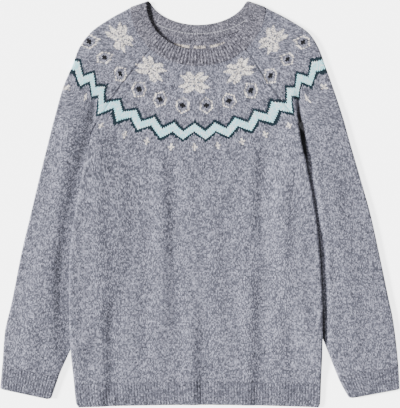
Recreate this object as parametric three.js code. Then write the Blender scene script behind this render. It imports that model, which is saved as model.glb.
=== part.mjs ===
// A long Fair Isle yoke jumper in grey wool, laid flat on a table with its front up.
//
// Millimetres, +Z up. +X runs to the sleeve on the right as the jumper is looked down on, and +Y runs
// from the hem to the neck. The origin is the middle of the garment, on the table.
//
// Each piece is one wall of knitting. A piece is worked out as rows of middle points of that wall, and
// the two faces lie half a wall to either side of them. The pieces meet at their seams with a small gap.
// While it is worked out, a place is measured from the hem ("up") and from the line between the cuffs.
import * as THREE from 'three';

// ---- driving sizes ------------------------------------------------------------------------------
const WALL = 2.2;                 // body and sleeve knitting
const HALF_WALL = WALL / 2;
const BAND_WALL = 3.0;            // neckband, knitted double and folded
const SEAM = 0.4;                 // left open between two pieces at a seam
const SIDE_SLIT = 0.3;            // left open where two edges meet on the side of a tube

const RIB_PITCH = 6.6;            // one knit and one purl column of 1x1 rib
const RIB_RELIEF = 0.45;          // how far a rib stands above, and a furrow lies below, the wall
const HEM_RIB = 40;               // height of the ribbed hem
const HEM_LEVEL = 41.5;           // where the hem rib meets the body, from the lowest point of the hem
const HEM_ARCH = 4.0;             // the middle of the hem lies this much higher than its corners

const BODY_EDGE = 7.6;            // thickness of the flat body tube at its side folds
const BODY_EDGE_AT_HEM = 6.4;     // and at the hem, which is flatter
const BODY_GAP = 2.6;             // air between back and front in the middle of the body
const BODY_GAP_AT_HEM = 1.5;
const LEAST_GAP = 0.7;            // no crease presses the front closer to the back than this

const SLEEVE_OUTER = 8.0;         // thickness of the sleeve tube at its outer fold
const SLEEVE_INNER = 7.6;         // and at its inner edge, where it lies free
const SLEEVE_CROWN = 0.6;
const TUCKED = 5.2;               // thickness of the sleeve where the body lies on it
const TUCK_CLEAR = 0.4;
const BODY_LIFT = TUCKED + TUCK_CLEAR;

const ARMPIT = 492.5;             // height of the underarm point
// The neck's curves are arcs of ellipses below the level of their centres. The front ones are whole
// half ellipses, and the back ones are shallower arcs that stop at the shoulder folds.
const NECK = {
  x: -3.5,                        // middle of the neck
  seam: {                         // the band's outer edge
    front: { level: 688.7, half: 114.9, depth: 96.9 },
    back: { level: 717.1, half: 123.2, depth: 78.6 },
  },
  rim: {                          // the band's inner edge, the neckline
    front: { level: 699.0, half: 89.0, depth: 80.0 },
    back: { level: 717.1, half: 85.9, depth: 54.4 },
  },
};
const RAGLAN_TOP = 82.1;          // the raglan seams reach the neck seam this far from its middle
const BAND_SHOULDER = 7.9;        // height of the front half band's middle at the shoulder
const BAND_CENTRE = 6.3;          // and at the centre front
const BAND_UNDER = BAND_WALL / 2; // and of the back half band, which lies on the table

// ---- short tables of the outline ----------------------------------------------------------------
// Side edges of the body below the underarm, from the lowest point of the hem upwards.
const BODY_EDGES = [
  { up: 0.5, left: -209.0, right: 204.5 },
  { up: 8.5, left: -214.2, right: 207.8 },
  { up: 41.5, left: -217.8, right: 209.2 },
  { up: 100.0, left: -222.8, right: 211.0 },
  { up: 162.5, left: -225.5, right: 211.7 },
  { up: 243.5, left: -225.5, right: 208.2 },
  { up: 306.0, left: -220.3, right: 203.0 },
  { up: 357.5, left: -211.7, right: 196.1 },
  { up: 418.0, left: -200.4, right: 184.0 },
  { up: 454.5, left: -191.6, right: 175.4 },
  { up: 478.5, left: -185.5, right: 171.6 },
  { up: ARMPIT, left: -178.0, right: 170.0 },
];

// Sections across a sleeve, from cuff to neck. "outer" is the fold along the top of the arm. "inner" is
// the underarm edge, hidden below the body, and from the underarm on it is the front raglan seam.
const SLEEVE_SECTIONS = {
  left: [
    { at: 'cuff edge', outer: 345.0, outerUp: 33.0, inner: 257.0, innerUp: 14.5 },
    { at: 'cuff seam', outer: 341.5, outerUp: 74.5, inner: 244.5, innerUp: 53.5 },
    { at: 'forearm', outer: 338.0, outerUp: 126.0, inner: 224.0, innerUp: 100.0 },
    { at: 'forearm', outer: 325.0, outerUp: 185.0, inner: 199.5, innerUp: 154.0 },
    { at: 'elbow', outer: 308.5, outerUp: 268.0, inner: 175.5, innerUp: 236.5 },
    { at: 'elbow', outer: 293.0, outerUp: 333.5, inner: 167.0, innerUp: 302.5 },
    { at: 'upper arm', outer: 279.0, outerUp: 392.5, inner: 165.0, innerUp: 361.0 },
    { at: 'upper arm', outer: 268.0, outerUp: 437.0, inner: 170.0, innerUp: 404.5 },
    { at: 'tuck', outer: 260.0, outerUp: 468.5, inner: 191.0, innerUp: 444.0 },
    { at: 'tuck', outer: 254.0, outerUp: 492.5, inner: 187.0, innerUp: 477.0 },
    { at: 'underarm', outer: 249.0, outerUp: 510.5, inner: 178.0, innerUp: ARMPIT },
    { at: 'raglan', outer: 237.0, outerUp: 553.0, inner: 162.5, innerUp: 518.5 },
    { at: 'raglan', outer: 219.5, outerUp: 594.5, inner: 144.5, innerUp: 546.0 },
    { at: 'raglan', outer: 210.0, outerUp: 620.0, inner: 129.5, innerUp: 566.0 },
    { at: 'raglan', outer: 190.0, outerUp: 648.0, inner: 115.0, innerUp: 584.0 },
    { at: 'raglan', outer: 157.5, outerUp: 671.5, inner: 99.5, innerUp: 603.0 },
  ],
  right: [
    { at: 'cuff edge', outer: 345.0, outerUp: 32.5, inner: 256.5, innerUp: 16.5 },
    { at: 'cuff seam', outer: 343.0, outerUp: 71.0, inner: 238.5, innerUp: 53.5 },
    { at: 'forearm', outer: 334.5, outerUp: 147.0, inner: 211.5, innerUp: 121.0 },
    { at: 'forearm', outer: 324.0, outerUp: 198.5, inner: 189.0, innerUp: 169.5 },
    { at: 'elbow', outer: 309.5, outerUp: 268.0, inner: 172.0, innerUp: 236.5 },
    { at: 'elbow', outer: 295.0, outerUp: 333.5, inner: 163.5, innerUp: 302.5 },
    { at: 'upper arm', outer: 278.5, outerUp: 392.5, inner: 160.0, innerUp: 361.0 },
    { at: 'upper arm', outer: 265.5, outerUp: 437.0, inner: 161.5, innerUp: 404.5 },
    { at: 'tuck', outer: 256.5, outerUp: 468.5, inner: 176.5, innerUp: 444.0 },
    { at: 'tuck', outer: 250.0, outerUp: 492.5, inner: 172.9, innerUp: 477.0 },
    { at: 'underarm', outer: 244.5, outerUp: 510.5, inner: 170.0, innerUp: ARMPIT },
    { at: 'raglan', outer: 231.0, outerUp: 551.0, inner: 150.5, innerUp: 518.5 },
    { at: 'raglan', outer: 216.0, outerUp: 592.5, inner: 129.5, innerUp: 546.0 },
    { at: 'raglan', outer: 206.0, outerUp: 620.0, inner: 115.5, innerUp: 566.0 },
    { at: 'raglan', outer: 189.5, outerUp: 646.5, inner: 103.5, innerUp: 584.0 },
    { at: 'raglan', outer: 156.5, outerUp: 669.5, inner: 90.5, innerUp: 605.0 },
  ],
};
const CUFF_SEAM = 1;              // rows of those tables
const UNDERARM = 10;
const NECK_SEAM = 16;

// Lengthways creases of the front: troughs are positive, soft ridges negative.
const FRONT_CREASES = [
  { x: -56, top: 455, foot: 140, depth: 1.6, width: 17 },
  { x: -4, top: 170, foot: -40, depth: 1.2, width: 15 },
  { x: 92, top: 462, foot: 268, depth: 1.5, width: 15 },
  { x: 94, top: 232, foot: -40, depth: 1.4, width: 16 },
  { x: -167, top: 452, foot: -40, depth: 1.3, width: 12 },
  { x: -110, top: 430, foot: 60, depth: -1.0, width: 22 },
  { x: 42, top: 420, foot: 40, depth: -0.9, width: 24 },
  { x: 140, top: 400, foot: 90, depth: -0.7, width: 18 },
];
// The crease that runs up from each underarm into the sleeve cap.
const CAP_CREASES = {
  left: { x: -183, top: 552, depth: 2.2, width: 10 },
  right: { x: 169, top: 545, depth: 2.4, width: 9 },
};

// ---- small helpers ------------------------------------------------------------------------------
const { smoothstep, lerp } = THREE.MathUtils;
const ramp = (value, from, to) => (from < to ? smoothstep(value, from, to) : 1 - smoothstep(value, to, from));
const vec = (x, up, z) => new THREE.Vector3(x, up, z);
const flat = (x, up) => new THREE.Vector2(x, up);
const SIGN = { left: -1, right: 1 };

// A smooth curve through every column of a table, which never swings past the table's own values.
function smoothTable(rows, keyOf) {
  const keys = rows.map(keyOf);
  const columns = Object.keys(rows[0]).filter((name) => typeof rows[0][name] === 'number');
  const slopes = {};
  for (const name of columns) {
    const chords = rows.slice(1).map((row, i) => (row[name] - rows[i][name]) / (keys[i + 1] - keys[i]));
    slopes[name] = rows.map((row, i) => {
      const before = chords[Math.max(i - 1, 0)];
      const after = chords[Math.min(i, chords.length - 1)];
      return before * after > 0 ? (2 * before * after) / (before + after) : 0;
    });
  }
  return (key) => {
    const last = rows.length - 2;
    let i = 0;
    while (i < last && key > keys[i + 1]) i += 1;
    const span = keys[i + 1] - keys[i];
    const t = THREE.MathUtils.clamp((key - keys[i]) / span, 0, 1);
    const out = {};
    for (const name of columns) {
      const a = rows[i][name];
      const b = rows[i + 1][name];
      const bend = (1 - t) * slopes[name][i] - t * slopes[name][i + 1];
      out[name] = a + (b - a) * t * t * (3 - 2 * t) + span * t * (1 - t) * bend;
    }
    return out;
  };
}

// One wall as a closed mesh. Each row is a list of {mid, out, into}: a middle point, and the steps from it
// to the outer and the inner face. A ring closes on itself, and any other wall gets a rim all round.
function wall(name, rows, finish, ring = false) {
  const across = rows[0].length;
  const outer = (i, j) => i * across + (j % across);
  const inner = (i, j) => rows.length * across + outer(i, j);
  const points = [];
  for (const step of ['out', 'into']) {
    for (const row of rows) row.forEach((spot) => points.push(...spot.mid.clone().add(spot[step]).toArray()));
  }
  const faces = [];
  const quad = (a, b, c, d) => faces.push(a, b, c, a, c, d);
  const lastRow = rows.length - 1;
  const lastColumn = ring ? across : across - 1;
  for (let i = 0; i < lastRow; i += 1) {
    for (let j = 0; j < lastColumn; j += 1) {
      quad(outer(i, j), outer(i, j + 1), outer(i + 1, j + 1), outer(i + 1, j));
      quad(inner(i, j), inner(i + 1, j), inner(i + 1, j + 1), inner(i, j + 1));
    }
    if (!ring) {
      quad(outer(i, 0), outer(i + 1, 0), inner(i + 1, 0), inner(i, 0));
      quad(outer(i + 1, lastColumn), outer(i, lastColumn), inner(i, lastColumn), inner(i + 1, lastColumn));
    }
  }
  for (let j = 0; j < lastColumn; j += 1) {
    quad(outer(0, j + 1), outer(0, j), inner(0, j), inner(0, j + 1));
    quad(outer(lastRow, j), outer(lastRow, j + 1), inner(lastRow, j + 1), inner(lastRow, j));
  }
  if (enclosed(points, faces) < 0) faces.reverse();
  const geometry = new THREE.BufferGeometry();
  geometry.setAttribute('position', new THREE.Float32BufferAttribute(points, 3));
  geometry.setIndex(faces);
  geometry.computeVertexNormals();
  const mesh = new THREE.Mesh(geometry, finish);
  mesh.name = name;
  return mesh;
}

// The volume inside a set of triangles, negative where they face inwards.
function enclosed(points, faces) {
  const corner = (k) => new THREE.Vector3().fromArray(points, faces[k] * 3);
  let volume = 0;
  for (let k = 0; k < faces.length; k += 3) volume += corner(k).dot(corner(k + 1).cross(corner(k + 2))) / 6;
  return volume;
}

const UP = vec(0, 0, 1);
const along = (direction, length) => direction.clone().multiplyScalar(length);
// A spot of a wall whose outer face looks along a unit vector.
const spot = (mid, facing, outerHalf = HALF_WALL, innerHalf = HALF_WALL) => (
  { mid, out: along(facing, outerHalf), into: along(facing, -innerHalf) });

// ---- how the layers lie on each other -----------------------------------------------------------
const bodyEdge = smoothTable(BODY_EDGES, (row) => row.up);
// A place on one of the neck's arcs, at an angle from its lowest point. "grow" makes the arc larger.
const neckPoint = (arc, angle, grow = 0) => flat(
  NECK.x + (arc.half + grow) * Math.sin(angle), arc.level - (arc.depth + grow) * Math.cos(angle));
// The angles at which an arc ends at the shoulder, and at which a raglan seam reaches it.
const shoulderAngle = (ring, half, grow = 0) => (
  Math.acos((ring[half].level - ring.front.level) / (ring[half].depth + grow)));
const raglanAngle = (half) => Math.asin(RAGLAN_TOP / (NECK.seam[half].half + SEAM));

// The sleeve tables end on the neck seam, where the band's own ellipse gives the row.
const SLEEVE_FOLD = (SLEEVE_OUTER - WALL) / 2;
function neckRow(side) {
  const sign = SIGN[side];
  const top = neckPoint(NECK.seam.front, sign * raglanAngle('front'), SEAM);
  return {
    at: 'neck seam',
    outer: sign * NECK.x + NECK.seam.front.half + SEAM,
    outerUp: NECK.seam.front.level + SLEEVE_FOLD + HALF_WALL,
    inner: sign * top.x,
    innerUp: top.y,
  };
}
const sleeveTable = {};
const tuckedTable = {};
for (const side of ['left', 'right']) {
  const rows = [...SLEEVE_SECTIONS[side], neckRow(side)];
  sleeveTable[side] = smoothTable(rows, (row, i) => i);
  tuckedTable[side] = smoothTable(rows.slice(0, UNDERARM + 1), (row) => row.innerUp);
}

// How far the body is raised by the sleeve that lies under its side: it keeps its full height a little
// way past the sleeve's hidden edge, and then runs down to the table.
const LIFT_MARGIN = 11;
const LIFT_RUN = 30;
const liftAlong = (up) => ramp(up, 45, 98) * ramp(up, ARMPIT - 2, 462);
const hiddenEdge = (side, up) => Math.min(tuckedTable[side](up).inner, Math.abs(bodyEdge(up)[side]));
function lift(x, up) {
  if (up >= ARMPIT) return 0;
  const inside = hiddenEdge(x < 0 ? 'left' : 'right', up) - Math.abs(x);
  return BODY_LIFT * liftAlong(up) * ramp(inside, LIFT_MARGIN + LIFT_RUN, LIFT_MARGIN);
}

function crease(x, up, { x: line, top, foot, depth, width }) {
  const ends = ramp(up, foot, foot + 40) * ramp(up, top, top - 40);
  return depth * ends * Math.exp(-(((x - line) / width) ** 2));
}
const bodyThickness = (up) => lerp(BODY_EDGE_AT_HEM, BODY_EDGE, ramp(up, 0, 60));
// Air between back and front, for a place so far in from the nearest side edge.
function bodyGap(x, up, inset) {
  const edge = bodyThickness(up) - 2 * WALL;
  const middle = lerp(BODY_GAP_AT_HEM, BODY_GAP, ramp(up, 0, 60));
  const pressed = FRONT_CREASES.reduce((sum, row) => sum + crease(x, up, row), 0);
  return Math.max(LEAST_GAP, lerp(edge, middle - pressed, ramp(inset, 4, 30)));
}
const backLevel = (x, up) => lift(x, up) + HALF_WALL;
const frontLevel = (x, up, inset) => backLevel(x, up) + WALL + bodyGap(x, up, inset);

// ---- sleeves ------------------------------------------------------------------------------------
// Thickness of the flat sleeve. "across" runs from 0 at the outer fold to 1 at the inner edge.
function sleeveThickness(side, x, up, across) {
  const free = lerp(SLEEVE_OUTER, SLEEVE_INNER, across) + SLEEVE_CROWN * Math.sin(Math.PI * across);
  if (up >= ARMPIT) return free;
  const outside = Math.abs(x) - Math.abs(bodyEdge(up)[side]);
  const under = TUCKED + (SLEEVE_OUTER - TUCKED) * ramp(outside, 3, 34);
  const tucked = ramp(up, 66, 98) * ramp(up, ARMPIT, 462);
  return lerp(free, Math.min(under, free), tucked);
}

function outlineNormal(side, row) {
  const step = 0.05;
  const a = sleeveTable[side](Math.max(row - step, 0));
  const b = sleeveTable[side](Math.min(row + step, NECK_SEAM));
  const tangent = flat(SIGN[side] * (b.outer - a.outer), b.outerUp - a.outerUp);
  const normal = flat(-tangent.y, tangent.x).multiplyScalar(-SIGN[side]);
  const atNeck = ramp(row, NECK_SEAM - 1.2, NECK_SEAM);
  return normal.normalize().lerp(flat(0, 1), atNeck).normalize();
}

// The raglan seams: the front one is in the sleeve tables, the back one runs straight to the back neck.
function raglan(side, half, row) {
  const sign = SIGN[side];
  const front = (at) => {
    const here = sleeveTable[side](at);
    return flat(sign * here.inner, here.innerUp);
  };
  if (half === 'front') return front(row);
  const top = neckPoint(NECK.seam.back, sign * raglanAngle('back'), SEAM);
  const low = front(UNDERARM);
  const gone = (front(row).y - low.y) / (front(NECK_SEAM).y - low.y);
  return low.clone().lerp(top, gone);
}
// A point of that seam, moved half the seam's gap towards the sleeve (+1) or the body (-1).
function raglanEdge(side, half, row, towards) {
  const step = 0.02;
  const a = raglan(side, half, Math.max(row - step, UNDERARM));
  const b = raglan(side, half, Math.min(row + step, NECK_SEAM));
  const tangent = b.sub(a).normalize();
  const outwards = flat(-tangent.y, tangent.x).multiplyScalar(-SIGN[side]);
  return raglan(side, half, row).addScaledVector(outwards, (towards * SEAM) / 2);
}

// A layer's line across the yoke is straight at the underarm and takes the neck seam's curve at the top.
// This gives how far the neck seam leaves its own chord, turned and scaled to another chord.
function bowed(from, to, share, arc, strength) {
  const start = arc(0);
  const chord = arc(1).sub(start);
  const point = arc(share).sub(start);
  const length = chord.length();
  const side = flat(-chord.y, chord.x).divideScalar(length);
  const forward = chord.clone().divideScalar(length);
  const ahead = point.dot(forward) / length - share;
  const aside = point.dot(side) / length;
  const own = to.clone().sub(from);
  const ownSide = flat(-own.y, own.x);
  const place = from.clone().addScaledVector(own, share + strength * ahead);
  return place.addScaledVector(ownSide, strength * aside);
}

// A quarter turn over a tube's side edge, from the slit on its side (0) to the flat (1).
function edgeTurn(corner, inwards, radius, middle, way, share) {
  const start = Math.asin(SIDE_SLIT / 2 / radius);
  const angle = lerp(start, Math.PI / 2, share);
  const reach = HALF_WALL + radius * (1 - Math.cos(angle));
  const place = corner.clone().addScaledVector(inwards, reach);
  const facing = vec(-inwards.x * Math.cos(angle), -inwards.y * Math.cos(angle), way * Math.sin(angle));
  return spot(vec(place.x, place.y, middle + way * radius * Math.sin(angle)), facing);
}

const TURN_STEPS = 3;             // columns in a quarter turn
const FOLD_STEPS = 4;             // and in the outer fold of a sleeve
const TOP_STEPS = 8;
const UNDER_STEPS = 7;
const ratios = (steps, from = 0) => Array.from({ length: steps + 1 - from }, (_, k) => (k + from) / steps);

// The middle line round one sleeve section: front edge, top layer, outer fold, under layer, back edge.
function sleeveSection(side, row, shift = 0) {
  const here = sleeveTable[side](row);
  const sign = SIGN[side];
  const open = row >= UNDERARM;                       // from here on the sleeve is open at the raglans
  const normal = outlineNormal(side, row);
  const outerEdge = flat(sign * here.outer, here.outerUp);
  const fold = outerEdge.clone().addScaledVector(normal, -(SLEEVE_FOLD + HALF_WALL));
  const innerEdge = flat(sign * here.inner, here.innerUp);
  const inwards = outerEdge.clone().sub(innerEdge).normalize();
  const moved = flat(-inwards.y, inwards.x).multiplyScalar(-sign * shift);   // along the arm
  const bend = ramp(row, UNDERARM + 0.5, NECK_SEAM);
  const neckArc = (half, share) => {
    const angle = lerp(raglanAngle(half), shoulderAngle(NECK.seam, half, SEAM), share);
    return neckPoint(NECK.seam[half], sign * angle, SEAM);
  };
  const innerThickness = sleeveThickness(side, innerEdge.x, innerEdge.y, 1);
  const radius = (innerThickness - WALL) / 2;
  const turnLength = radius * (Math.PI / 2);
  const line = [];
  const layer = { front: 1, back: -1 };
  const starts = {};
  for (const half of ['front', 'back']) {
    starts[half] = open ? raglanEdge(side, half, row, 1)
      : innerEdge.clone().addScaledVector(inwards, HALF_WALL + radius);
  }
  // Level of the wall's middle in either layer, "share" of the way from the inner edge to the fold.
  const level = (half, place, share) => {
    if (half === 'back') return HALF_WALL;
    let top = sleeveThickness(side, place.x, place.y, 1 - share) - HALF_WALL;
    if (open) {
      const cap = CAP_CREASES[side];
      const fromSeam = ramp(place.distanceTo(starts.front), 2, 12);
      const fade = ramp(place.y, cap.top, cap.top - 30) * fromSeam;
      top -= cap.depth * fade * Math.exp(-(((place.x - cap.x) / cap.width) ** 2));
    }
    return top;
  };
  const turnShare = (half) => turnLength / starts[half].distanceTo(fold);
  const across = (half, through) => {
    if (!open) return starts[half].clone().lerp(fold, through);
    return bowed(starts[half], fold, through, (share) => neckArc(half, share), bend);
  };
  const edge = (half) => ratios(TURN_STEPS).slice(0, -1).map((share) => {
    if (!open) return edgeTurn(innerEdge, inwards, radius, innerThickness / 2, layer[half], share);
    const place = across(half, share * turnShare(half));
    return spot(vec(place.x, place.y, level(half, place, 0)), along(UP, layer[half]));
  });
  const span = (half, steps) => ratios(steps).map((share) => {
    const place = across(half, open ? lerp(turnShare(half), 1, share) : share);
    return spot(vec(place.x, place.y, level(half, place, share)), along(UP, layer[half]));
  });
  line.push(...edge('front'), ...span('front', TOP_STEPS));
  for (const share of ratios(FOLD_STEPS, 1).slice(0, -1)) {
    const angle = Math.PI * share;
    const out = Math.sin(angle);
    const facing = vec(normal.x * out, normal.y * out, Math.cos(angle));
    const middle = vec(fold.x, fold.y, SLEEVE_OUTER / 2);
    line.push(spot(middle.addScaledVector(facing, SLEEVE_FOLD), facing));
  }
  line.push(...span('back', UNDER_STEPS).reverse(), ...edge('back').reverse());
  for (const one of line) one.mid.add(vec(moved.x, moved.y, 0));
  return line;
}

// ---- body ---------------------------------------------------------------------------------------
const CLIMB_COLUMNS = 3;         // columns in which a panel climbs onto the sleeve below it

// How far in from a side fold a panel's columns stand, up to where it lies on the table again.
function climbInsets(side, level) {
  const foot = Math.abs(bodyEdge(level)[side]) - hiddenEdge(side, level) + LIFT_MARGIN;
  return [foot / 2, ...ratios(CLIMB_COLUMNS).map((share) => foot + share * LIFT_RUN)];
}
// The columns of a panel's row as shares of its width. Above the underarm they keep the shares that they
// have there.
function panelShares(level, inset, middleColumns) {
  const edges = bodyEdge(level);
  const width = edges.right - edges.left - 2 * inset;
  const sides = {};
  for (const side of ['left', 'right']) {
    sides[side] = climbInsets(side, level).map((from) => Math.max(from - inset, 1) / width);
  }
  const [low, high] = [sides.left.at(-1), 1 - sides.right.at(-1)];
  const middle = ratios(middleColumns, 1).slice(0, -1).map((share) => lerp(low, high, share));
  return [0, ...sides.left, ...middle, ...sides.right.map((share) => 1 - share).reverse(), 1];
}

// One row of a body panel. Below the underarm "level" is a height, and "row" is a raglan row above it.
// The row has so many columns in its middle, or as many ribs as are asked for.
function bodyRow(half, { level, row }, { middleColumns, ribs }) {
  const open = row !== undefined;
  const ends = {};
  for (const side of ['left', 'right']) {
    ends[side] = open ? raglanEdge(side, half, row, -1) : flat(bodyEdge(level)[side], level);
  }
  const way = half === 'front' ? 1 : -1;
  const thickness = open ? BODY_EDGE : bodyThickness(level);
  const radius = (thickness - WALL) / 2;
  const turnLength = radius * (Math.PI / 2);
  const arc = (share) => neckPoint(NECK.seam[half], lerp(-raglanAngle(half), raglanAngle(half), share), SEAM);
  const height = open ? ends.left.y : level;
  const bend = ramp(height, 240, raglanEdge('left', half, NECK_SEAM, -1).y) ** 2.2;
  const arch = HEM_ARCH * ramp(height, 240, 40);
  const inset = open ? 0 : HALF_WALL + radius;
  const from = ends.left.clone().add(flat(inset, 0));
  const to = ends.right.clone().add(flat(-inset, 0));
  const strength = open && row === NECK_SEAM ? 1 : bend;
  const turnShare = open ? turnLength / from.distanceTo(to) : 0;
  const layered = (share, relief = 0) => {
    const place = bowed(from, to, share, arc, strength);
    place.y += arch * (1 - (2 * share - 1) ** 2);
    const edgeInset = Math.min(place.x - ends.left.x, ends.right.x - place.x);
    const z = half === 'front' ? frontLevel(place.x, place.y, edgeInset) : backLevel(place.x, place.y);
    return spot(vec(place.x, place.y, z), along(UP, way), HALF_WALL + relief);
  };
  const shares = ribs ? ratios(2 * ribs)
    : panelShares(open ? ARMPIT : level, HALF_WALL + radius, middleColumns);
  const span = shares.map((share, k) => {
    const relief = ribs ? (k % 2 ? -RIB_RELIEF : RIB_RELIEF) : 0;
    return layered(lerp(turnShare, 1 - turnShare, share), relief);
  });
  const edge = (side) => ratios(TURN_STEPS).slice(0, -1).map((share) => {
    if (open) return layered(side === 'left' ? share * turnShare : 1 - share * turnShare);
    const middle = lift(ends[side].x, ends[side].y) + thickness / 2;
    return edgeTurn(ends[side], flat(-SIGN[side], 0), radius, middle, way, share);
  });
  return [...edge('left'), ...span, ...edge('right').reverse()];
}

// Heights of the body's rows, and the raglan rows that body and sleeves share.
const BODY_LEVELS = [60, 80, 98, 122, 150, 180, 212, 246, 280, 314, 346, 378, 406, 430, 449, 464, 478, 487];
const RAGLAN_ROWS = ratios(8).map((share) => lerp(UNDERARM, NECK_SEAM, share));
const SLEEVE_ROWS = [CUFF_SEAM, 1.5, 2, 2.5, 3, 3.5, 4, 5, 6, 7, 7.5, 8, 8.5, 9, 9.5];

function panel(half, middleColumns, finish) {
  const rows = [bodyRow(half, { level: HEM_LEVEL + SEAM / 2 }, { middleColumns })];
  for (const level of BODY_LEVELS) rows.push(bodyRow(half, { level }, { middleColumns }));
  for (const row of RAGLAN_ROWS) rows.push(bodyRow(half, { row }, { middleColumns }));
  return wall(half, rows, finish);
}

// The ribs of the back half lie face down, where the garment rests flat, so that half is plain.
function hem(half, finish) {
  const edges = bodyEdge(HEM_LEVEL);
  const columns = half === 'front' ? { ribs: Math.round((edges.right - edges.left) / RIB_PITCH) }
    : { middleColumns: 3 };
  const levels = [HEM_LEVEL - HEM_RIB, HEM_LEVEL - HEM_RIB * 0.82, HEM_LEVEL - SEAM / 2];
  return wall(`hem_${half}`, levels.map((level) => bodyRow(half, { level }, columns)), finish);
}

// ---- cuffs --------------------------------------------------------------------------------------
// Places round a sleeve section at even steps of its length, for the ribs.
function evenly(line, count) {
  const lengths = [0];
  line.slice(1).forEach((one, k) => lengths.push(lengths[k] + one.mid.distanceTo(line[k].mid)));
  const total = lengths.at(-1);
  return ratios(count).map((share) => {
    const length = share * total;
    let k = 0;
    while (k < line.length - 2 && lengths[k + 1] < length) k += 1;
    const part = (length - lengths[k]) / (lengths[k + 1] - lengths[k]);
    const facing = line[k].out.clone().lerp(line[k + 1].out, part).normalize();
    return { mid: line[k].mid.clone().lerp(line[k + 1].mid, part), facing };
  });
}

function cuff(side, finish) {
  const rows = [0, 0.5, CUFF_SEAM].map((row) => {
    const line = sleeveSection(side, row, row === CUFF_SEAM ? SEAM : 0);
    const round = line.reduce((sum, one, k) => (k ? sum + one.mid.distanceTo(line[k - 1].mid) : 0), 0);
    return { line, round };
  });
  const ribs = Math.round(rows[2].round / RIB_PITCH);
  const points = rows.map(({ line }) => evenly(line, 2 * ribs).map(({ mid, facing }, k) => {
    const onTable = facing.z < -0.5;                 // the side that rests stays plain
    const relief = onTable ? 0 : (k % 2 ? -RIB_RELIEF : RIB_RELIEF);
    return spot(mid, facing, HALF_WALL + relief);
  }));
  return wall(`cuff_${side}`, points, finish);
}

// ---- neckband -----------------------------------------------------------------------------------
const BAND_FOLD = (BAND_SHOULDER - BAND_UNDER) / 2;
const BAND_ROWS = [0, 0.5, 1];

// The band's arcs "across" the band, which runs from the neck seam (0) to the neckline (1).
function bandArcs(across) {
  const ring = { front: {}, back: {} };
  for (const half of ['front', 'back']) {
    for (const key of ['level', 'half', 'depth']) {
      ring[half][key] = lerp(NECK.seam[half][key], NECK.rim[half][key], across);
    }
  }
  return ring;
}

// A spot of the band. "share" runs from one shoulder to the other in the front and in the back, and from
// the front to the back in a shoulder's turn. The ribs stand up on the side that shows.
function bandSpot({ part, sign, share }, across, relief) {
  const ring = bandArcs(across);
  const half = BAND_WALL / 2;
  if (part === 'turn') {
    const angle = Math.PI * share;
    const facing = vec(0, Math.sin(angle), Math.cos(angle));
    const ends = ['front', 'back'].map((side) => (
      neckPoint(ring[side], sign * shoulderAngle(ring, side))));
    const place = ends[0].lerp(ends[1], share);
    const middle = vec(place.x, place.y, (BAND_SHOULDER + BAND_UNDER) / 2);
    return spot(middle.addScaledVector(facing, BAND_FOLD), facing, half + relief * Math.sin(angle), half);
  }
  const end = shoulderAngle(ring, part);
  const point = neckPoint(ring[part], lerp(-end, end, share));
  if (part === 'back') return spot(vec(point.x, point.y, BAND_UNDER), along(UP, -1), half, half + relief);
  const rise = Math.abs(2 * share - 1) ** 3;
  return spot(vec(point.x, point.y, lerp(BAND_CENTRE, BAND_SHOULDER, rise)), UP, half + relief, half);
}

const ARC_STEPS = 400;            // steps in which the band's length is measured
const TURN_MEASURES = 12;

function neckband(finish) {
  const places = ratios(ARC_STEPS).map((share) => ({ part: 'front', share }));
  places.push(...ratios(TURN_MEASURES, 1).map((share) => ({ part: 'turn', sign: 1, share })));
  places.push(...ratios(ARC_STEPS, 1).map((share) => ({ part: 'back', share: 1 - share })));
  places.push(...ratios(TURN_MEASURES, 1).slice(0, -1).map((share) => (
    { part: 'turn', sign: -1, share: 1 - share })));
  const mids = places.map((place) => bandSpot(place, 0.35, 0).mid);
  const lengths = [0];
  mids.slice(1).forEach((mid, k) => lengths.push(lengths[k] + mid.distanceTo(mids[k])));
  const total = lengths.at(-1) + mids.at(-1).distanceTo(mids[0]);
  const ribs = Math.round(total / RIB_PITCH);
  const chosen = Array.from({ length: 2 * ribs }, (_, k) => {
    const length = (k / (2 * ribs)) * total;
    return places[lengths.findLastIndex((reached) => reached <= length)];
  });
  const rows = BAND_ROWS.map((across) => chosen.map((place, k) => (
    bandSpot(place, across, k % 2 ? -RIB_RELIEF : RIB_RELIEF))));
  return wall('neckband', rows, finish, true);
}

// ---- the jumper ---------------------------------------------------------------------------------
const wool = (color, roughness) => new THREE.MeshStandardMaterial({ color, roughness, metalness: 0 });
const MARL = wool('#9698a1', 0.95);
const RIB_MARL = wool('#8b8e98', 0.95);

const sweater = new THREE.Group();
sweater.add(panel('front', 18, MARL), panel('back', 6, MARL));
sweater.add(hem('front', RIB_MARL), hem('back', RIB_MARL));
for (const side of ['left', 'right']) {
  const rows = [...SLEEVE_ROWS, ...RAGLAN_ROWS].map((row) => sleeveSection(side, row));
  sweater.add(wall(`sleeve_${side}`, rows, MARL), cuff(side, RIB_MARL));
}
sweater.add(neckband(RIB_MARL));

// The origin goes to the middle of the garment's own box, on the table.
const box = new THREE.Box3().setFromObject(sweater);
const middle = box.getCenter(new THREE.Vector3());
for (const piece of sweater.children) piece.geometry.translate(-middle.x, -middle.y, -box.min.z);

export default sweater;
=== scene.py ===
# %% [markdown]
# # A yoke jumper in grey wool, laid flat
# The real jumper is knitted in pieces: a front, a back, two raglan sleeves, and ribs at the hem, the cuffs
# and the neck. Each piece is made here as one sheet of knitting, in the place where its plain solid lies.
# The solids come first, as the fixed frame that everything is fitted to.

# %% Load the plain model
import math

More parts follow.
